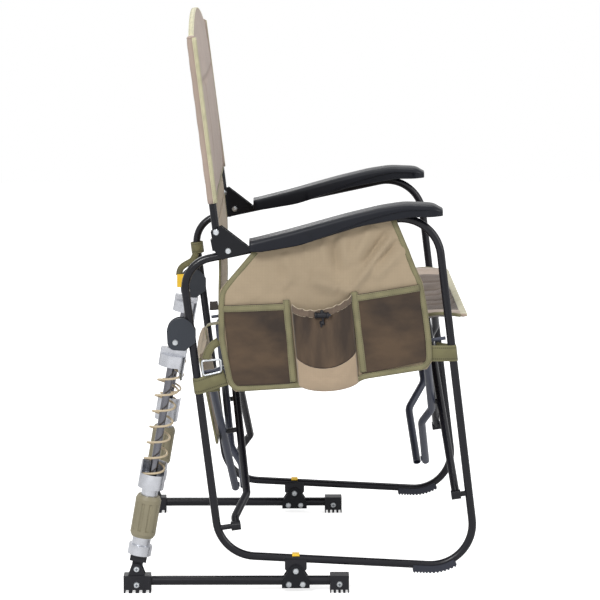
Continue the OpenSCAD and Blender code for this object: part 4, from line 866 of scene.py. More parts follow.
def inflate(piece, held, cap):
    """Blows a pad up with cloth pressure, with the held points still, and caps how far a point moves."""
    rest = [v.co.copy() for v in piece.data.vertices]
    group = piece.vertex_groups.new(name="held")
    group.add(held, 1.0, "REPLACE")
    sim = piece.modifiers.new("cloth", "CLOTH")
    for key, value in SIM_SETTINGS.items():
        setattr(sim.settings, key, value)
    sim.settings.effector_weights.gravity = 0
    sim.collision_settings.use_collision = False
    sim.collision_settings.use_self_collision = False
    scene = bpy.context.scene
    scene.frame_start, scene.frame_end = 1, SIM_FRAMES
    for number in range(1, SIM_FRAMES + 1):
        scene.frame_set(number)
    graph = bpy.context.evaluated_depsgraph_get()
    blown = [v.co.copy() for v in piece.evaluated_get(graph).to_mesh().vertices]
    piece.modifiers.clear()
    piece.vertex_groups.clear()
    scene.frame_set(1)
    for vertex, start, end in zip(piece.data.vertices, rest, blown):
        move = end - start
        if move.length > cap * MM:
            move *= cap * MM / move.length
        vertex.co = start + move


def move_points(piece, change):
    for vertex in piece.data.vertices:
        vertex.co = change(vertex.co)


def subdivide(piece):
    finer = piece.modifiers.new("finer", "SUBSURF")
    finer.levels = finer.render_levels = 1
    apply_modifiers(piece)
    piece.data.polygons.foreach_set("use_smooth", [True] * len(piece.data.polygons))


def half_of(piece, name, side):
    """The half of a closed piece on one side of the middle, closed again where it is cut."""
    mesh = piece.data.copy()
    work = bmesh.new()
    work.from_mesh(mesh)
    cut = bmesh.ops.bisect_plane(
        work, geom=work.verts[:] + work.edges[:] + work.faces[:], plane_co=(0, 0, 0),
        plane_no=(0, -side, 0), clear_outer=True, dist=1e-6,
    )
    edges = [e for e in cut["geom_cut"] if isinstance(e, bmesh.types.BMEdge)]
    if edges:
        bmesh.ops.holes_fill(work, edges=edges, sides=0)
    work.to_mesh(mesh)
    work.free()
    made = bpy.data.objects.new(name, mesh)
    bpy.context.scene.collection.objects.link(made)
    return made


def split_path(points, side):
    """The part of a closed line of points that lies on one side of the middle, in order."""
    n = len(points)
    inside = [p.y * side >= -1e-6 for p in points]
    start = next((i for i in range(n) if inside[i] and not inside[i - 1]), 0)
    path = []
    for k in range(n):
        p = points[(start + k) % n]
        if not inside[(start + k) % n]:
            break
        path.append(p.copy())
    for end, beyond in ((0, points[(start - 1) % n]), (-1, points[(start + len(path)) % n])):
        p = path[end]
        if abs(p.y) > 1e-5 and (beyond - p).length < 0.05:
            share = p.y / (p.y - beyond.y)
            path.insert(0 if end == 0 else len(path), p.lerp(beyond, share))
    return path


# Seat: a thin padded sheet that sags between its rails, sewn in channels from the front to the rear
SEAT_REAR_S, SEAT_HEM_S, SEAT_FRONT_S = 33, 424, 436
SEAT_HALF = 267
SEAT_LOW = 304.6
SEAT_SAG = 24
SAG_FROM, SAG_TO, SAG_HALF = 40, 436, 240
SAG_RUN, FRONT_RUN = 38, 36
HEM_DROOP = 11
SEAT_EDGE_T, SEAT_MID_T = 5, 8
SEAT_TUCK = 0.004
BROWN_HALF = 214.4
CHANNEL_CELLS, CHANNEL_SPANS, BORDER_CELLS = 7, 8, 7
CHANNEL_DEPTH = 2.2
SEAT_NU, SEAT_ROWS = 40, 2
SEAT_NV = CHANNEL_CELLS * CHANNEL_SPANS + 2 * BORDER_CELLS


def seat_dip(s, y):
    """How far the sling sags below its rails."""
    ends = smooth_step((s - SAG_FROM) / SAG_RUN) * smooth_step((SAG_TO - s) / FRONT_RUN)
    droop = HEM_DROOP * smooth_step((s - SAG_TO + 50) / 50)
    return SEAT_SAG * ends * (1 - min(abs(y) / SAG_HALF, 1) ** 4) + droop


def seat_s(u):
    """Stations from the rear to the hem, and one more row for the hem itself."""
    last = (SEAT_NU - 1) / SEAT_NU
    if u <= last:
        return mix(SEAT_REAR_S, SEAT_HEM_S, u / last)
    return mix(SEAT_HEM_S, SEAT_FRONT_S, (u - last) * SEAT_NU)


def seat_y(v):
    """Rows across the seat that fall on its sewn channels and on the edges of its brown middle."""
    j = v * SEAT_NV
    if j < BORDER_CELLS:
        return mix(-SEAT_HALF, -BROWN_HALF, j / BORDER_CELLS)
    if j > SEAT_NV - BORDER_CELLS:
        return mix(SEAT_HALF, BROWN_HALF, (SEAT_NV - j) / BORDER_CELLS)
    return mix(-BROWN_HALF, BROWN_HALF, (j - BORDER_CELLS) / (SEAT_NV - 2 * BORDER_CELLS))


def on_channel(v):
    j = round(v * SEAT_NV)
    return BORDER_CELLS <= j <= SEAT_NV - BORDER_CELLS and (j - BORDER_CELLS) % CHANNEL_CELLS == 0


def seat_place(u, v, w):
    s, y = seat_s(u), seat_y(v)
    dip = seat_dip(s, y)
    low = SEAT_LOW - dip
    thick = mix(SEAT_EDGE_T, SEAT_MID_T, min(1, dip / SEAT_SAG)) - (CHANNEL_DEPTH if on_channel(v) else 0)
    return seat_at(s, y * (1 - SEAT_TUCK * abs(1 - 2 * w)), mix(low + thick, low, w))


def seat_height(point):
    """How far a point is above the knuckle line, in millimetres, and how far along it."""
    x, z = (point.x - PIVOT_X) / MM - KNUCKLE_X, point.z / MM - KNUCKLE_Z
    c, d = math.cos(SEAT_TILT), math.sin(SEAT_TILT)
    return z * c - x * d, x * c + z * d


def seat_crease(point):
    s = seat_height(point)[1]
    up = seat_at(0, 0, 1) - seat_at(0, 0, 0)
    fade = min(1, max(0, (SEAT_FRONT_S - s) / 20)) * max(0, 1 - abs(point.y / MM / SEAT_HALF) ** 6)
    return point + up * (fade * (0.7 * rough(point, 34, 3) + 0.35 * rough(point, 9, 4)))


def seat_cords(side, name, rim):
    """The bound edge of a half of the seat, and the rows of stitches on it."""
    edge = [p for p in split_path(rim, side) if seat_height(p)[1] < SEAT_FRONT_S - 0.5]
    edge = softened(resample(edge, 6 * MM), 1)
    made = [(tube(f"{name}_seat_binding", edge, 3.0, olive_cord, 10), "olive_webbing")]
    path = []
    for k in range(49):
        s = mix(SEAT_REAR_S + 3, SEAT_HEM_S, k / 48)
        top = SEAT_LOW - seat_dip(s, BROWN_HALF) + SEAT_EDGE_T - 0.4
        path.append(seat_at(s, side * BROWN_HALF, top))
    made.append((tube(f"{name}_seat_seam", path, 1.3, dark_cord, 6), "brown_fabric"))
    top = SEAT_LOW + SEAT_EDGE_T - HEM_DROOP
    hem = [seat_at(SEAT_HEM_S, side * (1 + k * (SEAT_HALF - 3) / 40), top) for k in range(41)]
    made.append((tube(f"{name}_seat_hem_seam", hem, 0.6, dark_cord, 6), "brown_fabric"))
    return made


def make_seat():
    points, faces, kinds, loops = pad_mesh(SEAT_NU, SEAT_NV, SEAT_ROWS, seat_place)
    whole = add_mesh("seat_whole", points, faces, seat_tan_cloth)
    for material in (brown_cloth, cream_cloth):
        whole.data.materials.append(material)
    for number, (face, kind) in enumerate(zip(whole.data.polygons, kinds)):
        i, j = divmod(number, SEAT_NV)
        if kind == "bottom":
            face.material_index = 1
        elif kind.startswith("front") or (kind == "top" and i == SEAT_NU - 1):
            face.material_index = 2
        elif kind == "top" and BORDER_CELLS <= j < SEAT_NV - BORDER_CELLS:
            face.material_index = 1
    fix_normals(whole)
    held = {i for face, kind in zip(faces, kinds) if kind == "bottom" for i in face}
    sewn = {k for k, p in enumerate(points) if abs(abs(p.y / MM) - BROWN_HALF) < 0.5 or abs(p.y) < 0.001}
    for number in range(1, CHANNEL_SPANS // 2):
        y = number * 2 * BROWN_HALF / CHANNEL_SPANS
        sewn |= {k for k, p in enumerate(points) if abs(abs(p.y / MM) - y) < 0.5}
    inflate(whole, sorted(held | sewn | set(loops[0])), 3.5)
    rim = [whole.data.vertices[i].co.copy() for i in loops[1]]
    subdivide(whole)
    move_points(whole, seat_crease)
    for side, name in SIDE_NAME.items():
        squash_to = (side * HALF_WIDTH, HALF_SEAT_FOLDED_SHARE)
        half = half_of(whole, f"{name}_seat_cushion", side)
        dress(half, f"{name}_seat_frame", "brown_fabric", ["seat_cushion"], squash_to)
        for cord, slot_name in seat_cords(side, name, rim):
            dress(cord, f"{name}_seat_frame", slot_name, (), squash_to)
    bpy.data.objects.remove(whole)


olive_cord = cloth("olive_piping", OLIVE, 0.9, 0.0, 0.12)
make_seat()


# Sling under the padding: a thin sheet, a sleeve over each seat rail, and the hanger of the pouch
SLING_TOP = 303.6
SLING_T = 2.4
SLING_HALF = 256
SLING_REAR_S, SLING_FRONT_S = 15, 430
SLEEVE_FROM, SLEEVE_TO = 31, 329
SLEEVE_IN, SLEEVE_OUT = 250.6, 296.3
SLEEVE_LOW, SLEEVE_TOP = 275.6, 303.9
SLEEVE_ROUND, SLEEVE_END_ROUND = 8, 7
HANGER_W = 12.6
HANGER_LINE = [(-17, 276.5), (-17.4, 292), (-14, 300.4), (-4, 301.2), (22, 301.2)]


def sling_place(side):
    def place(u, v):
        s, y = mix(SLING_REAR_S, SLING_FRONT_S, u), SLING_HALF * v
        slack = 0.4 * dome(v) * (1 + rough(seat_at(s, y, 0), 40, 6))
        return seat_at(s, side * y, SLING_TOP - seat_dip(s, y) - slack)
    return place


def sleeve_ring(side, s):
    """A rounded block of cloth over the rail, closed softly at its ends."""
    near = min(s - SLEEVE_FROM, SLEEVE_TO - s)
    short = max(0, SLEEVE_END_ROUND - near)
    inset = SLEEVE_END_ROUND - math.sqrt(max(0, SLEEVE_END_ROUND ** 2 - short ** 2))
    low, high = SLEEVE_LOW + inset, SLEEVE_TOP - inset
    left, right = SLEEVE_IN + inset, SLEEVE_OUT - inset
    r = min(SLEEVE_ROUND, (high - low) * 0.45)
    left, right, low, high = left + r, right - r, low + r, high - r
    corners = ((right, high, 0), (left, high, 90), (left, low, 180), (right, low, 270))
    ring = []
    for y, h, start in corners:
        for k in range(6):
            a = math.radians(start + 18 * k)
            puff = 0.9 * rough(seat_at(s, y, h), 22, 7) if near > 4 else 0
            across, up = (r + puff) * math.cos(a), (r + min(0, puff)) * math.sin(a)
            ring.append(seat_at(s, side * (y + across), h + up))
    return ring


def make_sling():
    ends = (0, 1, 2.5, 4.5, 7)
    stations = [SLEEVE_FROM + d for d in ends] + [SLEEVE_FROM + 7 + k * 7.1 for k in range(1, 40)]
    stations += [SLEEVE_TO - d for d in reversed(ends)]
    for side, name in SIDE_NAME.items():
        body, squash_to = f"{name}_seat_frame", (side * HALF_WIDTH, HALF_SEAT_FOLDED_SHARE)
        sheet = sheet_piece(f"{name}_seat_sling", 48, 30, sling_place(side), SLING_T, brown_cloth, -1)
        fix_normals(sheet)
        dress(sheet, body, "brown_fabric", ["seat_sling"], squash_to)
        block = loft(f"{name}_rail_padding", [sleeve_ring(side, s) for s in stations], brown_cloth, False, 60)
        dress(block, body, "brown_fabric")
        path = [seat_at(s, side * HALF_WIDTH, RAIL_H) for s in range(SLEEVE_FROM + 2, SLEEVE_TO, 8)]
        sleeve = tube(f"{name}_rail_sleeve", path, lambda t: 7.15 + 0.12 * math.sin(60 * t), brown_cloth, 16)
        dress(sleeve, body, "brown_fabric")
        y = side * (HANGER_W / 2 + 0.4)
        line = [seat_at(s, y, h) for s, h in HANGER_LINE]
        up = [Vector((-1, 0, 0.2)), Vector((-1, 0, 0.9)), Vector((0, 0, 1))]
        path = softened(resample(line, 4 * MM), 2)
        normals = [up[min(2, int(3.2 * k / len(path)))] for k in range(len(path))]
        hanger = band(f"{name}_pouch_hanger", path, normals, HANGER_W, 1.6, olive_webbing)
        dress(hanger, body, "olive_webbing", (), squash_to)


make_sling()


# Back: a padded sheet between two sleeves on the posts, arched at the top
BACK_HALF = 283
BACK_TOP = POST_LEN
BACK_EDGE_T = 9.5
BACK_T = 10
BACK_CROWN = 2
BACK_NU, BACK_NV, BACK_ROWS = 34, 54, 2
BACK_SEAM_Y = 196
BACK_SEAM_UP = 246


def back_place(u, v, w):
    up = mix(BACK_LOW + 1, BACK_TOP + BACK_ARCH * dome(v), u)
    puff = math.sqrt(dome(u) * dome(v))
    half = mix(BACK_EDGE_T, BACK_T, puff) / 2
    out = mix(half + BACK_CROWN * dome(u) * dome(v), -half, w)
    return back_at(up, (2 * v - 1) * BACK_HALF, out)


def back_frame(point):
    """A point's height up the back, and how far it is out of its plane, in millimetres."""
    x, z = (point.x - PIVOT_X) / MM - HINGE_X, point.z / MM - HINGE_Z
    c, d = math.cos(BACK_LEAN), math.sin(BACK_LEAN)
    return z * c - x * d, x * c + z * d


def back_sewing(point):
    up, out = back_frame(point)
    y = point.y / MM
    seam = max(0, 1 - abs(abs(y) - BACK_SEAM_Y) / 7) ** 1.5 * (1 if up < BACK_SEAM_UP + 7 else 0)
    seam = max(seam, max(0, 1 - abs(up - BACK_SEAM_UP) / 7) ** 1.5)
    sleeve = max(0, 1 - abs(abs(y) - (HALF_WIDTH - 20)) / 6)
    near_edge = 2 * max(0, abs(y) / BACK_HALF - 0.55)
    pucker = 1.1 * near_edge * rough(Vector((point.x, point.y, point.z * 0.4)), 24, 8)
    depth = (4.0 * seam + 1.6 * sleeve) * (1 if out > 0 else 0.35)
    way = -1 if out > 0 else 1
    toward = back_at(0, 0, 1) - back_at(0, 0, 0)
    return point + toward * (way * depth + pucker + 0.5 * rough(point, 12, 9))


def make_back():
    points, faces, kinds, loops = pad_mesh(BACK_NU, BACK_NV, BACK_ROWS, back_place)
    panel = add_mesh("back_padding", points, faces, mauve_cloth)
    panel.data.materials.append(tan_cloth)
    for face, kind in zip(panel.data.polygons, kinds):
        face.material_index = 1 if kind == "bottom" or kind.endswith("1") else 0
    fix_normals(panel)
    held = sorted({i for level in loops for i in level})
    inflate(panel, held, 6)
    rim = [panel.data.vertices[i].co.copy() for i in loops[1]]
    subdivide(panel)
    move_points(panel, back_sewing)
    squash_to = (-HALF_WIDTH, FOLDED_SHARE)
    dress(panel, "right_back", "tan_fabric", ["back_panel"], squash_to)
    top = [p for p in rim if back_frame(p)[0] > BACK_TOP - 1]
    top = softened(resample(sorted(top, key=lambda p: p.y), 7 * MM), 2)
    up_way = (back_at(0, 0, 1) - back_at(0, 0, 0)).normalized().cross(Vector((0, 1, 0)))
    hem = band("back_top_binding", top, up_way, 9, 2.6, pale_webbing)
    dress(hem, "right_back", "olive_webbing", (), squash_to)
    low = [back_at(BACK_LOW + 1, y, 0) for y in range(-276, 277, 8)]
    hem = band("back_low_binding", low, up_way, 12, 2.4, olive_webbing)
    dress(hem, "right_back", "olive_webbing", (), squash_to)
    for side, name in SIDE_NAME.items():
        ups = [BACK_LOW + k * (POST_LEN - BACK_LOW + 1) / 34 for k in range(35)]
        path = [back_at(up, side * HALF_WIDTH, 0) for up in ups]
        sleeve = tube(f"{name}_post_sleeve", path, sleeve_radius, mauve_cloth, 18)
        strip = [back_at(up, side * (HALF_WIDTH + 5.6), 5.4) for up in ups]
        normal = (back_at(0, side, 1) - back_at(0, 0, 0)).normalized()
        tape = band(f"{name}_sleeve_tape", strip, normal, 9.5, 1.1, pale_webbing)
        flap = post_flap(name, side)
        for piece, slot_name in ((sleeve, "tan_fabric"), (tape, "olive_webbing"), (flap, "tan_fabric")):
            dress(piece, f"{name}_back", slot_name)


def sleeve_radius(t):
    return 7.9 + 0.25 * math.sin(40 * t) - 1.2 * smooth_step((t - 0.95) / 0.05)


def post_flap(name, side):
    """The cloth that closes the top of a sleeve."""
    r = POST_SLEEVE_R
    rings = []
    for k in range(6):
        t = k / 5
        rr = r * math.cos(t * math.pi / 2 * 0.92) * 0.92
        up = POST_LEN + 0.6 + 4 * math.sin(t * math.pi / 2)
        turns = [2 * math.pi * q / 16 for q in range(16)]
        rings.append([back_at(up, side * HALF_WIDTH + rr * math.cos(a), rr * math.sin(a)) for a in turns])
    return loft(f"{name}_sleeve_cap", rings, mauve_cloth)


make_back()


# Lower run of the back cloth, in two pieces that part on the hinge line of the back
LOWER_HALF = 262
LOWER_X = -127
LOWER_LOW_Z = 418.5
LOWER_BEND_Z = 570


def lower_place(z_low, z_high, out):
    def place(u, v):
        y = (2 * u - 1) * LOWER_HALF
        z = mix(z_low, z_high, v)
        lean = max(0, z - LOWER_BEND_Z) * 0.12
        wave = 1.2 * math.sin(y / 21) * dome(v) + 1.4 * rough(chair(0, y, z), 55, 11)
        return chair(LOWER_X - lean + out + wave * (0.4 + dome(v)), y, z)
    return place


def make_lower_back():
    squash_to = (-HALF_WIDTH, FOLDED_SHARE)
    sheet = sheet_piece("back_lower_cloth", 66, 24, lower_place(LOWER_LOW_Z, HINGE_Z, 0), 2.2, tan_cloth, 0)
    dress(sheet, "right_side_frame", "tan_fabric", ["back_lower_panel"], squash_to)
    upper = sheet_piece("back_joining_cloth", 66, 6, lower_place(HINGE_Z, HINGE_Z + 47, 0), 2.2, tan_cloth, 0)
    dress(upper, "right_back", "tan_fabric", (), squash_to)
    for side, name in SIDE_NAME.items():
        path = [lower_place(LOWER_LOW_Z, HINGE_Z, 0)(0 if side == RIGHT else 1, k / 20) for k in range(21)]
        tape = band(f"{name}_lower_back_tape", path, Vector((1, 0, 0)), 9, 4, olive_webbing)
        dress(tape, "right_side_frame", "olive_webbing", (), squash_to)


make_lower_back()


# Pouch behind the rear legs
FLAP_HALF = 150
FLAP_LEN = 157
FLAP_S = -16.9
FLAP_TOP_H = 274.6


def flap_ring(t):
    """Outline of the pouch at a share of its height: full at the top, flat at the hem."""
    h = FLAP_TOP_H - FLAP_LEN * t
    deep = mix(16.5, 3.2, smooth_step(t * 1.05))
    count = 22
    front, rear = [], []
    for k in range(count + 1):
        v = k / count
        y = (2 * v - 1) * (FLAP_HALF - 3 * dome(t))
        tuck = dome(v) ** 0.35
        fold = 1.1 * rough(seat_at(0, y, h), 34, 13) * (1 - t * 0.6)
        front.append(seat_at(FLAP_S - deep / 2 + deep / 2 * tuck - 0.3 - max(0, fold) * 0.4, y, h))
        rear.append(seat_at(FLAP_S - deep / 2 - deep / 2 * tuck + min(0, fold) * 0.6 + 0.4, y, h))
    return front + list(reversed(rear))


def make_flap():
    squash_to = (-HALF_WIDTH, FOLDED_SHARE)
    piece = loft("back_pouch", [flap_ring(k / 22) for k in range(23)], tan_cloth, False, 60)
    dress(piece, "right_side_frame", "tan_fabric", ["back_flap"], squash_to)
    top, low = (FLAP_S - 9, FLAP_TOP_H - 6), (FLAP_S - 1.6, FLAP_TOP_H - FLAP_LEN)
    corners = ((top, -1), (low, -1), (low, 1), (top, 1))
    ends = [seat_at(s, side * FLAP_HALF, h) for (s, h), side in corners]
    path = softened(resample(ends, 6 * MM), 3)
    hem = band("back_pouch_binding", path, Vector((1, 0, 0)), 11, 4.2, olive_webbing)
    dress(hem, "right_side_frame", "olive_webbing", (), squash_to)


make_flap()


# Pocket panel outside the right loop: a hung sheet with folds, bound all round
PANEL_BOTTOM = [(-114, 359), (-101, 345.5), (4, 352), (103, 358.5), (109, 366), (219, 383.5), (228, 397)]
PANEL_RIGHT = [(228, 397), (226, 433), (219, 486), (211, 530), (203, 546), (188, 584), (166, 636)]
PANEL_TOP = [(-70, 584), (3, 596), (55, 612), (105, 628.5), (141, 634), (166, 636)]
PANEL_LEFT = [(-114, 359), (-128, 433), (-129, 491), (-126, 517), (-119, 526), (-70, 584)]
# Folds of the panel: from, to, half width and height, in millimetres
PANEL_FOLDS = [
    ((60, 608), (70, 536), 8, -4.4), ((78, 618), (84, 552), 9, 3.6), ((42, 604), (50, 556), 9, 2.8),
    ((24, 540), (72, 521), 13, 7.5), ((66, 528), (92, 512), 9, 4.0), ((156, 622), (110, 554), 7, -6.0),
    ((170, 602), (120, 550), 6, -5.0), ((164, 612), (88, 512), 8, 7.0), ((182, 590), (128, 534), 9, 4.5),
    ((128, 626), (92, 560), 9, 4.6), ((-34, 574), (-18, 534), 9, -2.6), ((-20, 580), (-4, 532), 9, 2.6),
    ((-4, 530), (-16, 506), 8, -2.2), ((-96, 548), (-66, 500), 12, 2.2), ((-60, 560), (-48, 512), 10, 1.8),
    ((14, 592), (24, 548), 9, 2.2), ((140, 520), (206, 540), 9, 2.2),
]


def fold_height(x, z, folds):
    total = 0.0
    for (ax, az), (bx, bz), width, height in folds:
        dx, dz = bx - ax, bz - az
        length = math.hypot(dx, dz)
        t = ((x - ax) * dx + (z - az) * dz) / length ** 2
        off = ((x - ax) * dz - (z - az) * dx) / length
        fade = dome(min(max(t, 0), 1)) ** 0.8 if 0 < t < 1 else 0
        total += height * math.exp(-(off / width) ** 2) * fade
    return total


def line_at(points, t):
    """A point at a share of the length of a line of points."""
    spans = [math.dist(a, b) for a, b in zip(points, points[1:])]
    want = t * sum(spans)
    for (a, b), span in zip(zip(points, points[1:]), spans):
        if want <= span or b is points[-1]:
            k = min(want / span, 1)
            return Vector((mix(a[0], b[0], k), mix(a[1], b[1], k)))
        want -= span


def panel_xz(u, v):
    """A point of the panel from shares along its four edges."""
    low, high = line_at(PANEL_BOTTOM, u), line_at(PANEL_TOP, u)
    left, right = line_at(PANEL_LEFT, v), line_at(PANEL_RIGHT, v)
    corners = (Vector(PANEL_BOTTOM[0]) * (1 - u) * (1 - v) + Vector(PANEL_BOTTOM[-1]) * u * (1 - v)
               + Vector(PANEL_TOP[0]) * (1 - u) * v + Vector(PANEL_TOP[-1]) * u * v)
    return low * (1 - v) + high * v + left * (1 - u) + right * u - corners


def panel_outward(x, z):
    upper = smooth_step((z - 478) / 24)
    ripple = 0.6 * rough(side_at(x, z, 0), 20, 21) + 0.3 * rough(side_at(x, z, 0), 8, 22)
    return 7.6 + (FOLD_GAIN * fold_height(x, z, PANEL_FOLDS) + ripple) * upper


def panel_place(u, v):
    x, z = panel_xz(u, v)
    return side_at(x, z, panel_outward(x, z))


FOLD_GAIN = 1.5
PANEL_BINDING = 9.5
BINDING_OVER = 2.4


def make_panel():
    sheet = sheet_piece("pocket_panel_cloth", 110, 84, panel_place, 1.2, panel_cloth, 1)
    on_side(sheet, "tan_fabric", ["pocket_panel"])
    rim = [panel_xz(0, 1 - k / 50) for k in range(50)] + [panel_xz(k / 60, 0) for k in range(60)]
    rim += [panel_xz(1, k / 50) for k in range(51)]
    path = []
    for i, p in enumerate(rim):
        run = (rim[min(i + 1, len(rim) - 1)] - rim[max(i - 1, 0)]).normalized()
        q = p + Vector((-run.y, run.x)) * PANEL_BINDING / 2
        over = BINDING_OVER * (1 - smooth_step((q.y - 496) / 20))
        path.append(side_at(q.x, q.y, max(panel_outward(q.x, q.y) + 0.5, 8.1) + over))
    path = softened(resample(path, 5 * MM), 3)
    binding = band("panel_binding", path, OUTWARD, PANEL_BINDING, 3.2, olive_webbing)
    on_side(binding, "olive_webbing")


make_panel()


# Flat pockets of mesh, bound along the top and down the divider beside the cup
REAR_POCKET = [(-121, 492), (-13, 496), (-1, 360), (-107, 356)]
FRONT_POCKET = [(95, 509), (205, 527), (220, 398), (111, 376)]
POCKET_BASE = 9.6
POCKET_SWELL = 4.6
REAR_POCKET_FOLDS = [
    ((-100, 440), (-30, 470), 12, 1.6), ((-90, 380), (-20, 420), 16, 1.4), ((-60, 480), (-40, 380), 14, 1.2),
]
FRONT_POCKET_FOLDS = [
    ((118, 470), (200, 500), 12, 1.5), ((126, 400), (208, 440), 16, 1.6), ((160, 510), (176, 400), 14, 1.0),
]


def quad_at(corners, u, v):
    """A point inside four corners, given from the top left clockwise."""
    a, b, c, d = (Vector(p) for p in corners)
    return a.lerp(b, u).lerp(d.lerp(c, u), 1 - v)


def pocket_place(corners, folds):
    def place(u, v):
        x, z = quad_at(corners, u, v)
        swell = POCKET_SWELL * dome(u) ** 0.6 * (0.35 + 0.65 * math.sin(math.pi * min(1, v * 0.75 + 0.1)))
        return side_at(x, z, POCKET_BASE + swell + fold_height(x, z, folds) * dome(u) * min(1, 3 * v))
    return place


def make_pocket(name, corners, folds, node_name, divider_at):
    place = pocket_place(corners, folds)
    sheet = sheet_piece(f"{name}_mesh", 40, 44, place, 0.9, pocket_mesh, 1)
    on_side(sheet, "brown_fabric", [node_name])
    lift = side_at(0, 0, 1.4) - side_at(0, 0, 0)
    top = [place(k / 30, 0.955) + lift for k in range(31)]
    tape = band(f"{name}_top_binding", softened(top, 2), OUTWARD, 10.5, 2.4, olive_webbing)
    on_side(tape, "olive_webbing")
    side_line = []
    for k in range(31):
        x, z = quad_at(corners, divider_at, 1.04 - 1.02 * k / 30)
        side_line.append(side_at(x, z, 11.9 + 0.5 * math.sin(k / 3)))
    tape = band(f"{name}_divider", softened(side_line, 2), OUTWARD, 11, 3.0, olive_webbing)
    on_side(tape, "olive_webbing")


make_pocket("rear_pocket", REAR_POCKET, REAR_POCKET_FOLDS, "rear_pocket", 0.975)
make_pocket("front_pocket", FRONT_POCKET, FRONT_POCKET_FOLDS, "front_pocket", 0.02)


# Cup pocket: a gathered bag with a ruffled hem and a cloth sole
CUP_TOP = [(-6, 492), (92, 508)]
CUP_LOW = [(6, 357), (104, 362)]
CUP_BULGE = 21
CUP_HEM_DROP, CUP_SOLE_DROP = 15, 12
CUP_HEM = 11
RUFFLES = 9


def cup_swell(u, v):
    full = 0.5 + 0.5 * math.sin(math.pi * v) if v > 0.5 else 0.12 + 0.88 * math.sqrt(math.sin(math.pi * v))
    return math.sqrt(dome(u)) * full


def cup_point(u, v, extra=0.0, drop=0.0):
    low, high = Vector(CUP_LOW[0]).lerp(Vector(CUP_LOW[1]), u), Vector(CUP_TOP[0]).lerp(Vector(CUP_TOP[1]), u)
    low.y -= CUP_SOLE_DROP * dome(u) ** 0.7
    high.y -= CUP_HEM_DROP * dome(u) ** 0.8
    at = low.lerp(high, v)
    out = 9.4 + CUP_BULGE * (0.12 + 0.88 * cup_swell(u, min(max(v, 0.0001), 0.9999)))
    return side_at(at.x, at.y - drop, out + extra)


def cup_seam(u):
    """Height share of the seam between the mesh and the sole."""
    return 0.358 - 0.058 * dome(u) ** 0.8


def cup_gather(u, v):
    """Small upright folds that fade down from the hem."""
    near = smooth_step((v - 0.55) / 0.45)
    folds = 0.9 * math.sin(2 * math.pi * RUFFLES * u) + 0.7 * math.sin(2 * math.pi * 5.3 * u + 1)
    return folds * near * dome(u) ** 0.4


def cup_body(u, v):
    share = mix(cup_seam(u), 1, v)
    crease = 1.3 * rough(Vector((u * 0.1, 0, share * 0.04)), 12, 31) * dome(u)
    return cup_point(u, share, -0.6 + cup_gather(u, share) + crease)


def cup_sole(u, v):
    share = cup_seam(u) * v
    p = Vector((u * 0.12, 0, share * 0.14))
    crease = (3.0 * rough(p, 22, 33) + 1.2 * rough(p, 9, 34)) * dome(u) * dome(v) ** 0.5
    closing = 1 - smooth_step(v / 0.05)
    return cup_point(u, share, 0.2 + crease - 2.6 * closing)


def cup_hem(u, v):
    """The ruffled band at the mouth, from its lower edge to its upper one."""
    ruffle = 1.3 * math.sin(2 * math.pi * RUFFLES * u) + 0.6 * math.sin(2 * math.pi * 14 * u + 2)
    still = 1 - 0.75 * math.exp(-((u - 0.5) / 0.13) ** 2)
    lift = 0.8 * math.sin(2 * math.pi * 7 * u + 0.6) * v
    out = 1.5 + ruffle * still * (0.35 + 0.65 * v) * dome(u) ** 0.3
    return cup_point(u, 1, out, CUP_HEM * (1 - v) - 1 - lift)


def make_cup():
    body = sheet_piece("cup_pocket_mesh", 72, 30, cup_body, 0.9, cup_mesh, 1)
    on_side(body, "brown_fabric", ["cup_pocket"])
    sole = sheet_piece("cup_pocket_sole", 56, 36, cup_sole, 1.1, sole_cloth, 1)
    on_side(sole, "tan_fabric")
    hem = sheet_piece("cup_pocket_hem", 110, 6, cup_hem, 0.9, hem_cloth, 1)
    on_side(hem, "brown_fabric")
    lines = (("cup_mouth_cord", lambda u: cup_hem(u, 1), 0.95, pale_cord),
             ("cup_hem_cord", lambda u: cup_hem(u, 0), 0.7, pale_cord),
             ("cup_sole_seam", lambda u: cup_sole(u, 1), 0.8, dark_cord))
    for name, place, radius, material in lines:
        cord = tube(name, [place(k / 90) for k in range(91)], radius, material, 8)
        on_side(cord, "brown_fabric")


pale_cord = cloth("pale_cord", colour(190, 176, 152), 0.8, 0.0, 0.08)
sole_cloth = cloth("sole_cloth", colour(170, 150, 126), 0.9, 4.0, 0.08)
make_cup()


# Cord lock: rims and spring barrel on the CAD pieces, and the knotted tail of its elastic
LOCK = (43, 478)
LOCK_OUT = 27.6
LOCK_RIMS = [(-12, -8.4), (8.4, 12)]


def lock_part(name, places, radius, sides):
    """A round part of the cord lock through places given across and up from its middle, and outward."""
    path = [side_at(LOCK[0] + x, LOCK[1] + z, LOCK_OUT + out) for x, z, out in places]
    on_side(tube(name, path, radius, black_plastic, sides), "black_plastic")


def make_lock():
    for number, (start, end) in enumerate(LOCK_RIMS):
        rim = [(mix(start, end, k / 4), 0, 0) for k in range(5)]
        lock_part(f"cord_lock_rim_{number + 1}", rim, lambda t: 4.6 + 0.9 * math.sin(math.pi * t), 16)
    lock_part("cord_lock_barrel", [(x, 0, 0) for x in (-8.3, -4, 0, 4, 8.3)], 4.7, 16)
    guide = [(0, z, 0) for z in (2.0, 4.2, 6.6, 8.6)]
    lock_part("cord_lock_guide", guide, lambda t: 3.3 - 1.1 * t * t, 12)
    tail = []
    for k in range(25):
        t = k / 24
        tail.append((0.6 + 1.4 * math.sin(5 * t), -3 - 17 * t, 1.2 * math.sin(7 * t) - 0.5))
    lock_part("cord_lock_tail", tail, lambda t: 1.5 + 3.4 * math.exp(-((t - 0.62) / 0.16) ** 2), 12)


make_lock()


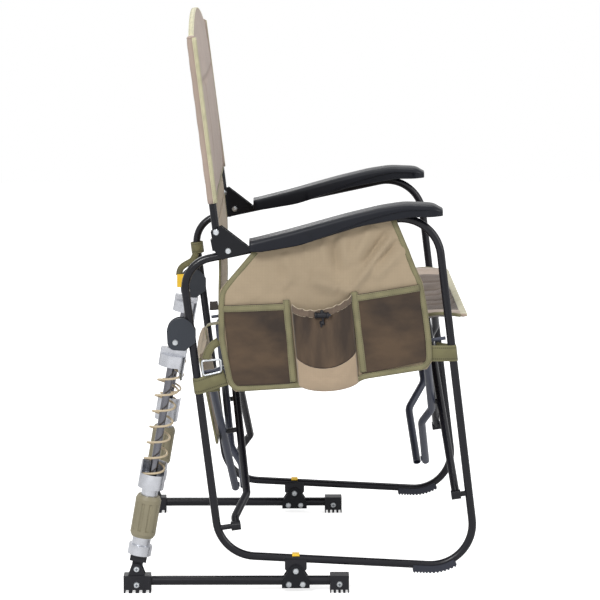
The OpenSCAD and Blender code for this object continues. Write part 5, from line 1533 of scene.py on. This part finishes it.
# Straps that tie the panel to the legs of the right loop
STRAP_W = 27
STRAP_T = 1.5
STRAP_R = 8.0
REAR_STRAP_Z, FRONT_STRAP_Z = 354, 410
REAR_STRAP_RISE = 16


def leg_strap(name, low, high, z, panel_x, rise, inner_end):
    """A strap from the panel's edge, round the leg and back along the inside."""
    leg_x = along_line(low, high, z)
    way = 1 if panel_x > leg_x else -1
    plan = [(panel_x, 8.2, rise), (mix(panel_x, leg_x, 0.5), 8.3, rise * 0.5)]
    for k in range(13):
        a = math.radians(-90 + 180 * k / 12)
        plan.append((leg_x - way * STRAP_R * math.cos(a), -STRAP_R * math.sin(a), 0))
    plan += [(mix(leg_x, inner_end, 0.5), -8.4, 1), (inner_end, -8.2, 3)]
    points = [side_at(x, z + lift, out) for x, out, lift in plan]
    path = softened(resample(points, 3 * MM), 2)
    axis = (side_at(high[0], high[1], 0) - side_at(low[0], low[1], 0)).normalized()
    normals = []
    for i in range(len(path)):
        run = path[min(i + 1, len(path) - 1)] - path[max(i - 1, 0)]
        normals.append(axis.cross(run).normalized())
    piece = band(name, path, normals, STRAP_W, STRAP_T, strap_webbing)
    on_side(piece, "olive_webbing", ["frame_straps"])


leg_strap("rear_leg_strap", LOW_REAR, TOP_REAR, REAR_STRAP_Z, -117, REAR_STRAP_RISE, -128)
leg_strap("front_leg_strap", LOW_FRONT, TOP_FRONT, FRONT_STRAP_Z, 226, 0, 234)

# Carry strap on the left rear leg, with its yellow tag
CARRY_Z = 510
CARRY_R = 11
CARRY_TILT = 0.12
CARRY_STEPS = 41
CARRY_END = [(-185, 500), (-191, 486), (-201, 481), (-211, 475), (-216, 468), (-217, 458)]


def make_carry_strap():
    leg_x = along_line(LOW_REAR, TOP_REAR, CARRY_Z)
    ring = []
    for k in range(CARRY_STEPS):
        a = 2 * math.pi * k / CARRY_STEPS
        x, y = CARRY_R * math.cos(a), CARRY_R * math.sin(a)
        ring.append(chair(leg_x + x, HALF_WIDTH + y, CARRY_Z + CARRY_TILT * x))
    normals = [(p - chair(leg_x, HALF_WIDTH, CARRY_Z)).normalized() for p in ring]
    loop = band("carry_strap_loop", ring, normals, 21, 1.5, strap_webbing, True)
    dress(loop, "left_side_frame", "olive_webbing", ["carry_strap"])
    line = [chair(x, HALF_WIDTH - CARRY_R - 0.2, z) for x, z in CARRY_END]
    path = softened(resample(line, 3 * MM), 3)
    run = band("carry_strap_end", path, OUTWARD, 12, 1.5, strap_webbing)
    dress(run, "left_side_frame", "olive_webbing")


make_carry_strap()

# Slide buckle above the rear strap with its short loop, and the small tab on the panel's edge
BUCKLE = [(-157, 398), (-125, 401), (-124, 380), (-154, 373)]
BUCKLE_OUT = 11.4
BUCKLE_LOOP = [(-150, 401), (-146, 414), (-139, 424), (-128, 431)]
EDGE_TAB = [(-129, 492), (-136, 491), (-143, 491)]


def make_buckle():
    path = [side_at(x, z, BUCKLE_OUT) for x, z in BUCKLE]
    ring = softened(resample(path, 2 * MM, True), 3, True)
    on_side(tube("rear_strap_buckle", ring, 1.7, zinc_metal, 10, True), "bright_zinc")
    path = [side_at(x, z, BUCKLE_OUT - 1.6 * k) for k, (x, z) in enumerate(BUCKLE_LOOP)]
    path = softened(resample(path, 3 * MM), 2)
    loop = band("rear_buckle_loop", path, OUTWARD, 14, 1.5, strap_webbing)
    on_side(loop, "olive_webbing")
    path = resample([side_at(x, z, 9.4) for x, z in EDGE_TAB], 2 * MM)
    tab = band("panel_edge_tab", path, OUTWARD, 15, 2.4, dark_cord)
    on_side(tab, "black_plastic")


make_buckle()
